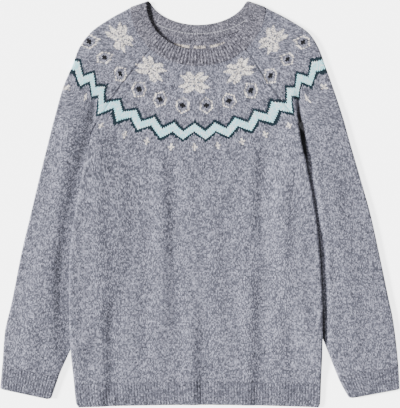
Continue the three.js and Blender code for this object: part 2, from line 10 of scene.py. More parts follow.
import bmesh
import bpy
import numpy as np
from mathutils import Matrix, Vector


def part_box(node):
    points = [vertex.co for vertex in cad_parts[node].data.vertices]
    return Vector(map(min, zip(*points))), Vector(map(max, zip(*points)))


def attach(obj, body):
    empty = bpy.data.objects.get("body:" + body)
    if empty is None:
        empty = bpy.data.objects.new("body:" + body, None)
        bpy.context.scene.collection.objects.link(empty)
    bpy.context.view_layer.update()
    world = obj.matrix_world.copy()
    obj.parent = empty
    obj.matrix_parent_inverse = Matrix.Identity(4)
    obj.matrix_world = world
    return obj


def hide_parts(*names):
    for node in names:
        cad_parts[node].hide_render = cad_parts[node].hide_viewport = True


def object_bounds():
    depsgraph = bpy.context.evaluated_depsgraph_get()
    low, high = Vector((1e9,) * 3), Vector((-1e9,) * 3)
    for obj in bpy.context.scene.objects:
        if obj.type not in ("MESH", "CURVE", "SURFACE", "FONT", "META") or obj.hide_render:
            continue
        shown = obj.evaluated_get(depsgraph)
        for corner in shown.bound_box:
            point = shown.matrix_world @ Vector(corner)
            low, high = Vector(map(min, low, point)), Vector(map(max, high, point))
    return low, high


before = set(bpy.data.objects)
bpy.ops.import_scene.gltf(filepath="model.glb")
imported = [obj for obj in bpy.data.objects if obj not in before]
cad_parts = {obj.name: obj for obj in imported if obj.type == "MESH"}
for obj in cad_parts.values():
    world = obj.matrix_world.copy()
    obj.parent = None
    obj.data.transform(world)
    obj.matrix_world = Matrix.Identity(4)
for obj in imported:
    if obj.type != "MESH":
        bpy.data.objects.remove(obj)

plain_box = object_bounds()
print("plain model", [round(high - low, 4) for low, high in zip(*plain_box)], "m")

# %% [markdown]
# A pattern cutter's sizes are in millimetres, so the tables below are too. A place on the table is given as
# x, to the right of the line between the cuffs, and up, from the lowest point of the hem. One function moves
# finished places into the frame, in metres.

# %% From pattern sizes to the frame
MM = 0.001
HEM_FOOT = 1.5                    # the corners of the hem lie this far up
HEM_SIDE = -217.8                 # the hem's left corner

hem_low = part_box("hem_front")[0]
SHIFT = np.array([hem_low.x - HEM_SIDE * MM, hem_low.y - HEM_FOOT * MM, 0.0])


def in_frame(places):
    return np.asarray(places) * MM + SHIFT


print("pattern origin in the frame", [round(float(v), 5) for v in SHIFT])

# %% [markdown]
# Soft cloth has no corners, so nearly every size fades from one value to another. Ramp does that, and a
# smooth table draws a curve through the rows of a short table without swinging past them.

# %% Ramps and smooth tables
def ramp(value, start, end):
    share = np.clip((value - start) / (end - start), 0.0, 1.0)
    return share * share * (3.0 - 2.0 * share)


def lerp(a, b, share):
    return a + (b - a) * share


def smooth_table(keys, rows):
    keys = np.asarray(keys, float)
    columns = {name: np.array([row[name] for row in rows], float) for name in rows[0]}
    slopes = {}
    for name, column in columns.items():
        chords = np.diff(column) / np.diff(keys)
        before = np.append(chords[:1], chords)
        after = np.append(chords, chords[-1:])
        same_way = before * after > 0
        total = np.where(same_way, before + after, 1.0)
        slopes[name] = np.where(same_way, 2 * before * after / total, 0.0)

    def at(key):
        i = np.clip(np.searchsorted(keys, key) - 1, 0, len(keys) - 2)
        span = keys[i + 1] - keys[i]
        t = np.clip((key - keys[i]) / span, 0.0, 1.0)
        out = {}
        for name, column in columns.items():
            a, b = column[i], column[i + 1]
            bend = (1 - t) * slopes[name][i] - t * slopes[name][i + 1]
            out[name] = a + (b - a) * t * t * (3 - 2 * t) + span * t * (1 - t) * bend
        return out
    return at


def rows_of(columns, table):
    return [dict(zip(columns.split(), row)) for row in table]


print("a ramp from 0 to 1, at its quarters:", ramp(np.linspace(0, 1, 5), 0, 1).round(3).tolist())

# %% [markdown]
# The camera looks straight down, as onto a table, through a long lens so that the edges don't lean. The
# garment fills the picture from cuff to cuff.

# %% Camera
LENS = 95.0
SENSOR = 36.0
PICTURE = (400, 408)
PICTURE_WIDTH = 0.6877            # metres of table across the picture
BELOW_MIDDLE = 0.0003             # the picture's middle lies this far below the garment's

low, high = plain_box
height = PICTURE_WIDTH * PICTURE[1] / PICTURE[0]
distance = LENS / SENSOR * height
camera = bpy.data.objects.new("camera", bpy.data.cameras.new("camera"))
bpy.context.scene.collection.objects.link(camera)
camera.data.lens = LENS
camera.data.sensor_width = SENSOR
camera.data.clip_end = 20.0
camera.location = ((low.x + high.x) / 2, (low.y + high.y) / 2 - BELOW_MIDDLE, high.z + distance)
bpy.context.scene.camera = camera
print("camera", [round(v, 4) for v in camera.location])

# %% [markdown]
# These are the sizes that the knitting follows: the wall, the edges of the body, and sections across the
# sleeves from cuff to neck, with the outer fold and the inner edge of each.

# %% Sizes of the garment
WALL = 2.2
HALF_WALL = WALL / 2
BAND_WALL = 3.0
SEAM = 0.4
RIB_PITCH, NECK_RIB_PITCH = 5.0, 5.6   # one knit and one purl column
HEM_RIB = 40.0
HEM_LEVEL = 41.5
HEM_ARCH = 4.0
BODY_EDGE, BODY_EDGE_AT_HEM = 7.6, 6.4
BODY_GAP, BODY_GAP_AT_HEM, LEAST_GAP = 2.6, 1.5, 0.7
SLEEVE_OUTER, SLEEVE_INNER, SLEEVE_CROWN = 8.0, 7.6, 0.6
TUCKED, TUCK_CLEAR = 5.2, 0.4
BODY_LIFT = TUCKED + TUCK_CLEAR
ARMPIT = 492.5
RAGLAN_TOP = 82.1
NECK_X = -3.5

NECK_ARCS = {                     # for each: its level, half its width, and its depth
    "seam": {"front": (688.7, 114.9, 96.9), "back": (717.1, 123.2, 78.6)},
    "rim": {"front": (699.0, 89.0, 80.0), "back": (717.1, 85.9, 54.4)},
}

BODY_EDGES = rows_of("up left right", [
    (0.5, -209.0, 204.5), (8.5, -214.2, 207.8), (41.5, -217.8, 209.2), (100.0, -222.8, 211.0),
    (162.5, -225.5, 211.7), (243.5, -225.5, 208.2), (306.0, -220.3, 203.0), (357.5, -211.7, 196.1),
    (418.0, -200.4, 184.0), (454.5, -191.6, 175.4), (478.5, -185.5, 171.6), (ARMPIT, -178.0, 170.0),
])
body_edge = smooth_table([row["up"] for row in BODY_EDGES], BODY_EDGES)

SECTION_COLUMNS = "outer outer_up inner inner_up"
SLEEVE_SECTIONS = {
    "left": [
        (345.0, 33.0, 257.0, 14.5), (341.5, 74.5, 244.5, 53.5), (338.0, 126.0, 224.0, 100.0),
        (325.0, 185.0, 199.5, 154.0), (308.5, 268.0, 175.5, 236.5), (293.0, 333.5, 167.0, 302.5),
        (279.0, 392.5, 165.0, 361.0), (268.0, 437.0, 170.0, 404.5), (260.0, 468.5, 191.0, 444.0),
        (254.0, 492.5, 187.0, 477.0), (249.0, 510.5, 178.0, ARMPIT), (237.0, 553.0, 162.5, 518.5),
        (219.5, 594.5, 144.5, 546.0), (210.0, 620.0, 129.5, 566.0), (190.0, 648.0, 115.0, 584.0),
        (157.5, 671.5, 99.5, 603.0),
    ],
    "right": [
        (345.0, 32.5, 256.5, 16.5), (343.0, 71.0, 238.5, 53.5), (334.5, 147.0, 211.5, 121.0),
        (324.0, 198.5, 189.0, 169.5), (309.5, 268.0, 172.0, 236.5), (295.0, 333.5, 163.5, 302.5),
        (278.5, 392.5, 160.0, 361.0), (265.5, 437.0, 161.5, 404.5), (256.5, 468.5, 176.5, 444.0),
        (250.0, 492.5, 172.9, 477.0), (244.5, 510.5, 170.0, ARMPIT), (231.0, 551.0, 150.5, 518.5),
        (216.0, 592.5, 129.5, 546.0), (206.0, 620.0, 115.5, 566.0), (189.5, 646.5, 103.5, 584.0),
        (156.5, 669.5, 90.5, 605.0),
    ],
}
CUFF_SEAM, UNDERARM, NECK_SEAM = 1, 10, 16     # rows of those tables
SIGN = {"left": -1, "right": 1}
print("body", len(BODY_EDGES), "rows, sleeves", len(SLEEVE_SECTIONS["left"]), "rows each")

# %% [markdown]
# The neck is drawn with arcs of ellipses, so a place on it is an angle from the lowest point. The raglan
# seams run from the underarm to the neck seam, and the last row of each sleeve lies on that seam.

# %% Neck and raglan lines
def neck_point(arc, angle, grow=0.0):
    level, half, depth = arc
    return np.stack([NECK_X + (half + grow) * np.sin(angle), level - (depth + grow) * np.cos(angle)], -1)


def shoulder_angle(arcs, half, grow=0.0):
    return math.acos((arcs[half][0] - arcs["front"][0]) / (arcs[half][2] + grow))


def raglan_angle(half):
    return math.asin(RAGLAN_TOP / (NECK_ARCS["seam"][half][1] + SEAM))


SLEEVE_FOLD = (SLEEVE_OUTER - WALL) / 2
sleeve_table, tucked_table = {}, {}
for side, sections in SLEEVE_SECTIONS.items():
    top = neck_point(NECK_ARCS["seam"]["front"], SIGN[side] * raglan_angle("front"), SEAM)
    neck_row = (SIGN[side] * NECK_X + NECK_ARCS["seam"]["front"][1] + SEAM,
                NECK_ARCS["seam"]["front"][0] + SLEEVE_FOLD + HALF_WALL, SIGN[side] * top[0], top[1])
    rows = rows_of(SECTION_COLUMNS, [*sections, neck_row])
    sleeve_table[side] = smooth_table(range(len(rows)), rows)
    hidden = rows[:UNDERARM + 1]
    tucked_table[side] = smooth_table([row["inner_up"] for row in hidden], hidden)


def raglan(side, half, row):
    here = sleeve_table[side](row)
    front = np.array([SIGN[side] * here["inner"], here["inner_up"]])
    if half == "front":
        return front
    low, high = (sleeve_table[side](at) for at in (UNDERARM, NECK_SEAM))
    gone = (here["inner_up"] - low["inner_up"]) / (high["inner_up"] - low["inner_up"])
    top = neck_point(NECK_ARCS["seam"]["back"], SIGN[side] * raglan_angle("back"), SEAM)
    return lerp(np.array([SIGN[side] * low["inner"], low["inner_up"]]), top, gone)


def raglan_edge(side, half, row, towards):
    """The seam's line, moved half its gap towards the sleeve (+1) or the body (-1)."""
    run = raglan(side, half, min(row + 0.02, NECK_SEAM)) - raglan(side, half, max(row - 0.02, UNDERARM))
    run /= np.linalg.norm(run)
    outwards = np.array([-run[1], run[0]]) * -SIGN[side]
    return raglan(side, half, row) + outwards * towards * SEAM / 2


def bowed(start, end, shares, arc, strength):
    """Places across the yoke: straight at the underarm, and bent like the neck seam at the top."""
    first, last, points = arc(0.0), arc(1.0), arc(shares)
    chord = last - first
    length = np.linalg.norm(chord)
    forward, side = chord / length, np.array([-chord[1], chord[0]]) / length
    ahead = (points - first) @ forward / length - shares
    aside = (points - first) @ side / length
    own = end - start
    own_side = np.array([-own[1], own[0]])
    return start + np.outer(shares + strength * ahead, own) + np.outer(strength * aside, own_side)


print("raglan meets the neck at", [round(math.degrees(raglan_angle(half)), 1) for half in ("front", "back")],
      "degrees")

# %% [markdown]
# The body lies on the tucked sleeves and comes down to the table between them. Wool that has been laid out
# by hand keeps a few long, shallow creases, no two alike, so each has its own place, length, depth and width.

# %% Levels and creases of the body
LIFT_MARGIN, LIFT_RUN = 11.0, 46.0
FOLD_FADE = 55                    # a fold runs out over this length at either end
FOLD_HALF = 10.5                  # from the slope of a fold to its trough on one side and its ridge on the
                                  # other
CREASES = {
    "front": rows_of("x lean top foot rise width", [
        (-50, -6, 466, 108, 2.6, 15), (-3, 2, 195, -60, 2.4, 13), (97, 6, 474, 262, 2.1, 14),
        (93, 4, 250, -60, 2.3, 14), (-162, -4, 462, 190, 1.6, 14), (-163, 8, 205, -60, 2.5, 13),
        (-104, 3, 330, 60, 0.7, 12), (38, -5, 380, 120, 0.7, 13), (148, 6, 420, 60, 1.1, 13),
    ]),
    "back": rows_of("x lean top foot rise width", [
        (-128, 6, 440, 70, 0.8, 15), (22, -5, 400, 40, 0.7, 16), (128, 4, 430, 190, 0.7, 14),
        (66, 3, 210, -40, 0.6, 14),
    ]),
    "left": rows_of("x lean top foot rise width", [
        (-262, 62, 470, 150, 1.0, 14), (-292, 30, 300, 20, 0.8, 12),
    ]),
    "right": rows_of("x lean top foot rise width", [
        (232, -46, 420, 190, 0.6, 13), (286, -34, 300, 60, 0.7, 13),
    ]),
}


def fold_relief(x, up, folds):
    """Soft folds: each falls from a ridge on its left to a trough on its right."""
    total = np.zeros(np.broadcast(x, up).shape)
    for row in folds:
        line = row["x"] + row["lean"] * (up - row["foot"]) / (row["top"] - row["foot"])
        ends = ramp(up, row["foot"], row["foot"] + FOLD_FADE) * ramp(up, row["top"], row["top"] - FOLD_FADE)
        ridge, trough = (np.exp(-((x - line + way * FOLD_HALF) / row["width"]) ** 2) for way in (1, -1))
        total = total + row["rise"] * ends * (ridge - trough)
    return total


def give(x, up):
    """The slight unevenness of knitting that has been worn and washed."""
    wave = np.sin(x / 11.0 + 1.7 * np.sin(up / 47.0)) * np.sin(up / 23.0 + 1.3 * np.sin(x / 31.0 + 0.6))
    return 0.22 * wave + 0.14 * np.sin(x / 6.1 + up / 17.0 + 2.0 * np.sin(up / 29.0 + x / 53.0))


LIP_RISE = {"left": 0.2, "right": 3.2}    # the side of the body stands up just below each underarm


def lift(x, up):
    """How far the body is held up by the tucked sleeves, and by the lip below each underarm."""
    edges = body_edge(up)
    inside = np.where(
        x < 0,
        np.minimum(tucked_table["left"](up)["inner"], np.abs(edges["left"])),
        np.minimum(tucked_table["right"](up)["inner"], np.abs(edges["right"])),
    ) - np.abs(x)
    along = ramp(up, 45, 98) * ramp(up, ARMPIT - 2, 462)
    raised = BODY_LIFT * along * ramp(inside, LIFT_MARGIN + LIFT_RUN, LIFT_MARGIN)
    lip = np.where(x < 0, LIP_RISE["left"], LIP_RISE["right"]) * ramp(up, ARMPIT, 476) * ramp(up, 372, 446)
    lip = lip * ramp(inside, 34, 2)
    raised = raised + lip
    return np.where(up >= ARMPIT, 0.0, raised)


def body_thickness(up):
    return lerp(BODY_EDGE_AT_HEM, BODY_EDGE, ramp(up, 0, 60))


def body_gap(x, up, inset):
    """The hollow between the front and the back, with the creases of the front in it."""
    edge = body_thickness(up) - 2 * WALL
    middle = lerp(BODY_GAP_AT_HEM, BODY_GAP, ramp(up, 0, 60))
    relief = fold_relief(x, up, CREASES["front"]) + give(x, up)
    return np.maximum(LEAST_GAP, lerp(edge, middle + relief, ramp(inset, 3, 24)))


# %% [markdown]
# One row of a body panel starts on the side fold, turns a quarter circle onto the flat, and runs across to
# the other side. Above the underarm it ends on the raglan seams instead, and bends more and more like the
# neck. The front and the back are the same kind of row on two levels.

# %% Rows of the body
TURN_STEPS = 5
SEAM_DIP, SEAM_SPREAD = 1.1, 1.7   # the sewn seams pull the wool in along the raglan lines


def seam_pull(up):
    """The seams bite less just above the underarm, where the wool is bunched."""
    return lerp(0.1, 1.0, ramp(up, 500, 540))


def quarter_turn(corner, inwards, radius, middle, way, shares):
    angle = lerp(0.0, math.pi / 2, shares)
    reach = HALF_WALL + radius * (1 - np.cos(angle))
    places = np.empty((len(angle), 3))
    places[:, :2] = corner + np.outer(reach, inwards)
    places[:, 2] = middle + way * radius * np.sin(angle)
    facing = np.stack([-inwards[0] * np.cos(angle), -inwards[1] * np.cos(angle), way * np.sin(angle)], -1)
    return places, facing


def body_row(half, columns, level=None, row=None, relief=None):
    """Middle points of the wall across a panel, and the way that its outer face looks."""
    seamed = row is not None
    way = 1 if half == "front" else -1
    if seamed:
        left, right = (raglan_edge(side, half, row, -1) for side in ("left", "right"))
    else:
        edges = body_edge(level)
        left, right = (np.array([edges[side], level]) for side in ("left", "right"))
    thickness = BODY_EDGE if seamed else body_thickness(level)
    radius = (thickness - WALL) / 2
    turn = radius * math.pi / 2
    seam_arc, swing = NECK_ARCS["seam"][half], raglan_angle(half)
    height = left[1] if seamed else level
    bend = ramp(height, 240, raglan_edge("left", half, NECK_SEAM, -1)[1]) ** 2.2
    arch = HEM_ARCH * ramp(height, 240, 40)
    inset = 0.0 if seamed else HALF_WALL + radius
    start, end = left + (inset, 0), right - (inset, 0)
    strength = 1.0 if row == NECK_SEAM else bend
    turn_share = turn / np.linalg.norm(end - start) if seamed else 0.0
    turning = np.arange(TURN_STEPS) / TURN_STEPS
    across = np.linspace(turn_share, 1 - turn_share, columns + 1)
    shares = across
    if seamed:
        shares = np.concatenate([turning * turn_share, across, 1 - turning[::-1] * turn_share])
    places = np.empty((len(shares), 3))
    places[:, :2] = bowed(start, end, shares,
                          lambda share: neck_point(seam_arc, lerp(-swing, swing, share), SEAM), strength)
    places[:, 1] += arch * (1 - (2 * shares - 1) ** 2)
    x, up = places[:, 0], places[:, 1]
    places[:, 2] = lift(x, up) + HALF_WALL
    inset = np.minimum(x - left[0], right[0] - x)
    below = np.maximum(0.0, fold_relief(x, up, CREASES["back"])) * ramp(inset, 4, 30)
    if half == "front":
        gap = body_gap(x, up, inset)
        places[:, 2] += WALL + np.maximum(gap, below + LEAST_GAP)
    else:
        places[:, 2] += below
    if seamed:
        beside = np.minimum(shares, 1 - shares) * np.linalg.norm(end - start)
        places[:, 2] -= way * SEAM_DIP * seam_pull(up) * np.exp(-(beside / SEAM_SPREAD) ** 2)
    facing = np.tile([0.0, 0.0, float(way)], (len(shares), 1))
    if relief is not None:
        places[:, 2] += way * relief(shares)
    if seamed:
        return places, facing
    ends = []
    for corner, inwards in ((left, (1.0, 0.0)), (right, (-1.0, 0.0))):
        middle = float(lift(corner[0], corner[1])) + thickness / 2
        ends.append(quarter_turn(corner, np.array(inwards), radius, middle, way, turning))
    return (np.concatenate([ends[0][0], places, ends[1][0][::-1]]),
            np.concatenate([ends[0][1], facing, ends[1][1][::-1]]))


sample = body_row("front", 10, level=300)[0]
print("row at 300 mm:", sample.round(1).tolist()[::5])

# %% [markdown]
# A sleeve is a flat tube. A section of it runs from the inner edge over the top layer, round the outer fold
# and back below. Where the body lies on it, it is pressed thinner. From the underarm up it is open, and its
# two edges lie along the raglan seams.

# %% Sections of the sleeves
FOLD_STEPS = 9
TOUCHING = 0.05                   # just below the underarm the sleeve's edge comes up against the body's
CAP_CREASES = {
    "left": {"x": -183, "top": 556, "depth": 3.2, "lip": 0.3, "lean": 0.0, "fall": 12.0},
    "right": {"x": 167.5, "top": 556, "depth": 4.2, "lip": 1.6, "lean": 0.12, "fall": 4.0},
}


def tuck(x, up, side):
    """Across the crease of the underarm: a lip on the body's side, a steep drop, and a slow rise beyond."""
    crease = CAP_CREASES[side]
    beyond = SIGN[side] * (x - crease["x"]) - crease["lean"] * np.maximum(530 - up, 0)
    drop = ramp(beyond, 0.5 - crease["fall"], 0.5) * np.exp(-(np.maximum(beyond, 0) / 11.0) ** 1.5)
    return crease["lip"] * np.exp(-((beyond + 7.5) / 4.5) ** 2) - crease["depth"] * drop


PUFF = {"left": (3.6, 38.0), "right": (1.2, 16.0)}   # how far the top stands up, and over what width
TUCK_RUN = {"left": 34, "right": 16}                 # the width over which it comes up beside the body
ELBOW_BULGE = 2.9                                    # the right sleeve's top stands up here as well


def sleeve_thickness(side, x, up, across):
    free = lerp(SLEEVE_OUTER, SLEEVE_INNER, across) + SLEEVE_CROWN * np.sin(math.pi * across)
    outside = np.abs(x) - np.abs(body_edge(up)[side])
    rise, run = PUFF[side]
    under = TUCKED + (SLEEVE_OUTER - TUCKED) * ramp(outside, 2, TUCK_RUN[side])
    puff = rise * ramp(outside, 4, run) * ramp(across, 0.0, 0.4) * ramp(up, 20, 110) * ramp(up, 560, 470)
    tucked = ramp(up, 66, 98) * ramp(up, ARMPIT, 462)
    relief = (fold_relief(x, up, CREASES[side]) + give(x, up)) * ramp(outside, 6, 24) * ramp(across, 0.0, 0.3)
    if side == "right":
        relief += ELBOW_BULGE * ramp(up, 285, 330) * ramp(up, 430, 395) * ramp(outside, 0, 5) * ramp(
            outside, 70, 25)
    return np.where(up >= ARMPIT, free, lerp(free, np.minimum(under, free), tucked)) + puff + relief


def outline_normal(side, row):
    a, b = sleeve_table[side](max(row - 0.05, 0)), sleeve_table[side](min(row + 0.05, NECK_SEAM))
    run = np.array([SIGN[side] * (b["outer"] - a["outer"]), b["outer_up"] - a["outer_up"]])
    normal = np.array([-run[1], run[0]]) * -SIGN[side]
    normal = lerp(normal / np.linalg.norm(normal), np.array([0.0, 1.0]), ramp(row, NECK_SEAM - 1.2, NECK_SEAM))
    return normal / np.linalg.norm(normal)


CLEAR_OF_BODY = 446               # above this the inner edge comes out from under the body


def sleeve_section(side, row, top_columns, under_columns):
    """Middle points of the wall round a section, the way it faces, its places unrolled flat, and its layer."""
    here, sign, seamed = sleeve_table[side](row), SIGN[side], row >= UNDERARM
    normal = outline_normal(side, row)
    outer_edge = np.array([sign * here["outer"], here["outer_up"]])
    body_side = abs(float(body_edge(here["inner_up"])[side]))
    beside_body = row < UNDERARM and here["inner_up"] > CLEAR_OF_BODY
    inner = min(here["inner"], body_side + TOUCHING) if beside_body else here["inner"]
    inner_edge = np.array([sign * inner, here["inner_up"]])
    fold = outer_edge - normal * (SLEEVE_FOLD + HALF_WALL)
    inwards = (outer_edge - inner_edge) / np.linalg.norm(outer_edge - inner_edge)
    bend = float(ramp(row, UNDERARM + 0.5, NECK_SEAM))
    inner_thickness = float(sleeve_thickness(side, inner_edge[0], inner_edge[1], 1.0))
    radius = (inner_thickness - WALL) / 2
    turning = np.arange(TURN_STEPS) / TURN_STEPS
    layers = {}
    for half, columns in (("front", top_columns), ("back", under_columns)):
        way = 1 if half == "front" else -1
        start = raglan_edge(side, half, row, 1) if seamed else inner_edge + inwards * (HALF_WALL + radius)
        shares = np.linspace(0, 1, columns + 1)
        if seamed:
            turn_share = radius * math.pi / 2 / np.linalg.norm(fold - start)
            shares = np.concatenate([turning * turn_share, lerp(turn_share, 1, shares)])
            low, high = raglan_angle(half), shoulder_angle(NECK_ARCS["seam"], half, SEAM)
            plan = bowed(start, fold, shares, lambda share: neck_point(
                NECK_ARCS["seam"][half], sign * lerp(low, high, share), SEAM), bend)
        else:
            plan = start + np.outer(shares, fold - start)
        x, up = plan[:, 0], plan[:, 1]
        if half == "back":
            level = np.full(len(x), HALF_WALL)
        else:
            level = sleeve_thickness(side, x, up, 1 - shares) - HALF_WALL
            if seamed:
                top = CAP_CREASES[side]["top"]
                level += tuck(x, up, side) * ramp(up, top, top - 34) * ramp(np.hypot(*(plan - start).T), 0.5, 6)
        if seamed:
            beside = shares * np.linalg.norm(fold - start)
            level -= way * SEAM_DIP * seam_pull(up) * np.exp(-(beside / SEAM_SPREAD) ** 2)
        places = np.column_stack([x, up, level])
        facing = np.tile([0.0, 0.0, float(way)], (len(x), 1))
        if not seamed:
            edge, edge_facing = quarter_turn(inner_edge, inwards, radius, inner_thickness / 2, way, turning)
            unrolled = start - np.outer((1 - turning) * radius * math.pi / 2, inwards)
            places, facing = np.concatenate([edge, places]), np.concatenate([edge_facing, facing])
            plan = np.concatenate([unrolled, plan])
        layers[half] = (places, facing, plan)
    angle = np.linspace(0, math.pi, FOLD_STEPS + 1)[1:-1]
    turned = np.column_stack([np.outer(np.sin(angle), normal), np.cos(angle)])
    round_fold = np.append(fold, SLEEVE_OUTER / 2) + turned * SLEEVE_FOLD
    run_out = SLEEVE_FOLD * np.where(angle <= math.pi / 2, angle, math.pi - angle)
    fold_plan = fold + np.outer(run_out, normal)
    front, back = layers["front"], layers["back"]
    places = np.concatenate([front[0], round_fold, back[0][::-1]])
    facing = np.concatenate([front[1], turned, back[1][::-1]])
    plan = np.concatenate([front[2], fold_plan, back[2][::-1]])
    on_top = np.concatenate([np.ones(len(front[0])), angle <= math.pi / 2, np.zeros(len(back[0]))])
    return places, facing, plan, on_top


sample = sleeve_section("left", 5, 8, 6)
heights = sample[0][:, 2]
print("elbow section:", len(heights), "points, from", heights.min().round(2), "to", heights.max().round(2),
      "mm up")

# %% [markdown]
# The yoke is knitted in rounds, so its patterns lie on rings round the neck. A ring is named by the height
# at which it crosses the middle of the front. Each place of the yoke gets its ring and its angle round the
# neck. The rings of the back start higher, at the back neck, and meet those of the front at the outer folds
# of the sleeves, so the angle runs on from the front over the folds and round the back.

# %% Rings and angles of the yoke
BAND_FOOT, ZIGZAG_TOP, ROSETTE_TOP, FLAKE_TOP = 436.0, 502.5, 540.0, 585.0   # where the bands change
YOKE_X = -4.3                     # the rings are centred on this line
WHOLE_TURN = 303.0                # degrees counted right round the yoke, as they are spaced on the front
FLAKES, ROSETTES, ZIGZAGS = 10, 27, 38       # repeats in a whole round of each band
FLAKE_STITCHES, ROSETTE_STITCHES, ZIGZAG_STITCHES = 26, 12, 12
STITCHES_PER_DEGREE = ZIGZAGS * ZIGZAG_STITCHES / WHOLE_TURN


def ring_centre(ring):
    """How far up the middle of a ring lies: the lowest rings are flatter, so theirs is higher."""
    return 710.9 + 22.3 * ramp(ring, 549, 529) + 11.6 * ramp(ring, 512, 495)


def solve_ring(outside, low, high):
    """The ring through each place: outside says whether the place lies beyond a given ring."""
    for _ in range(30):
        middle = (low + high) / 2
        beyond = outside(middle)
        low, high = np.where(beyond, low, middle), np.where(beyond, middle, high)
    return (low + high) / 2


def polar(plan, centre):
    across, down = plan[..., 0] - YOKE_X, centre - plan[..., 1]
    return np.hypot(across, down), np.degrees(np.arctan2(across, down))


# %% [markdown]
# Knitted rounds don't stay true once the garment has been laid out with its sleeves tucked in: they ride up
# over the sleeve heads and lose a repeat in the crease of each underarm. The table says where each motif of
# the front has come to lie, counted from the middle one. A smooth pull is fitted through those places, and
# it carries any place on the laid yoke back to where it would be in true rounds.

# %% How the rounds are pulled
LAID = {
    "upper points": (493.7, "zigzag", [
        (-7, -207, 599), (-6, -184, 580), (-5, -162, 556), (-4, -138, 533), (-3, -109, 516),
        (-2, -78, 504), (-1, -44, 495), (0, -9, 493), (1, 25, 495), (2, 60, 503), (3, 93, 515),
        (4, 122, 531), (5, 148, 554), (6, 167, 579), (7, 192, 600),
    ]),
    "upper notches": (478.5, "zigzag", [
        (-6.5, -201, 572), (-5.5, -181, 553), (-4.5, -164, 526), (-0.5, -29, 478), (0.5, 9, 478),
        (4.5, 149, 527), (5.5, 165, 553), (6.5, 187, 571),
    ]),
    "lower points": (472.8, "zigzag", [
        (-7, -217, 577), (-6, -191, 561), (-5, -178, 538), (-4, -153, 514), (0, -10, 474),
        (5, 161, 535), (6, 175, 559), (7, 201, 576),
    ]),
    "lower notches": (459.5, "zigzag", [
        (-6.5, -208, 552), (-4.5, -179, 504), (-3.5, -146, 490), (-2.5, -109, 477), (-0.5, -29, 461),
        (0.5, 10, 461), (2.5, 90, 475), (3.5, 128, 489), (4.5, 163, 506), (5.5, 170, 534),
        (6.5, 193, 553),
    ]),
    "rosettes": (521.6, "rosette", [
        (-5.5, -192, 632), (-4.5, -165, 605), (-3.5, -138, 577), (-2.5, -105, 550), (-1.5, -69, 533),
        (-0.5, -30, 522), (0.5, 11, 522), (1.5, 50, 530), (2.5, 88, 548), (3.5, 122, 574),
        (4.5, 151, 602), (5.5, 178, 631),
    ]),
    "crosses": (449.9, "zigzag", [
        (-7, -229, 551), (-6, -196, 536), (-4, -171, 487), (-3, -130, 471), (-2, -92, 460),
        (-1, -50, 450), (0, -9, 450), (1, 31, 453), (2, 73, 460), (3, 113, 472), (4, 154, 487),
        (6, 185, 533), (7, 213, 553),
    ]),
    "snowflakes": (560.9, "flake", [
        (-2, -137, 639), (-1, -85, 586), (0, -10, 562), (1, 68, 584), (2, 125, 636),
    ]),
}
BAND_REPEATS = {"zigzag": (ZIGZAGS, -1.5, 12), "rosette": (ROSETTES, -1.5, 12), "flake": (FLAKES, -1.5, 26)}
PULL_REACH = 32.0                 # a motif pulls the places round it this far
PULL_EASE = 0.03                  # how far a motif may miss its place, to keep the pull smooth


def pull_weights():
    places, moves = [], []
    for ring, band, motifs in LAID.values():
        repeats, first, stitches = BAND_REPEATS[band]
        for number, x, up in motifs:
            angle = math.radians((first + stitches * number) / (repeats * stitches) * WHOLE_TURN)
            reach = ring_centre(ring) - ring
            true = np.array([YOKE_X + reach * math.sin(angle), ring_centre(ring) - reach * math.cos(angle)])
            places.append((x, up))
            moves.append(true - (x, up))
    places = np.array(places, float)
    near = np.exp(-((places[:, None] - places[None]) ** 2).sum(-1) / PULL_REACH ** 2)
    return places, np.linalg.solve(near + PULL_EASE * np.eye(len(places)), np.array(moves))


PULL_PLACES, PULLS = pull_weights()


def drawn_in(plan):
    apart = ((plan[..., None, :] - PULL_PLACES) ** 2).sum(-1)
    return plan + np.exp(-apart / PULL_REACH ** 2) @ PULLS


print(len(PULL_PLACES), "motifs, moved up to", np.abs(drawn_in(PULL_PLACES) - PULL_PLACES).max().round(1), "mm")


def yoke_of_front(plan):
    """The ring and the angle of places on the upper layer."""
    plan = drawn_in(plan)
    low, high = (np.full(plan.shape[:-1], float(level)) for level in (-400, 700))
    ring = solve_ring(lambda at: polar(plan, ring_centre(at))[0] > ring_centre(at) - at, low, high)
    return ring, polar(plan, ring_centre(ring))[1]


fold_lines = {}
for side, sign in SIGN.items():
    edge = []
    for row in np.linspace(6.4, NECK_SEAM, 60):
        here, normal = sleeve_table[side](row), outline_normal(side, row)
        outer = np.array([sign * here["outer"], here["outer_up"]])
        edge.append(outer - normal * (SLEEVE_FOLD * (1 - math.pi / 2) + HALF_WALL))
    edge = np.array(edge)
    ring, angle = yoke_of_front(edge)
    order = np.argsort(ring)
    fold_lines[side] = (ring[order], np.abs(edge[order, 0] - YOKE_X), edge[order, 1], np.abs(angle[order]))


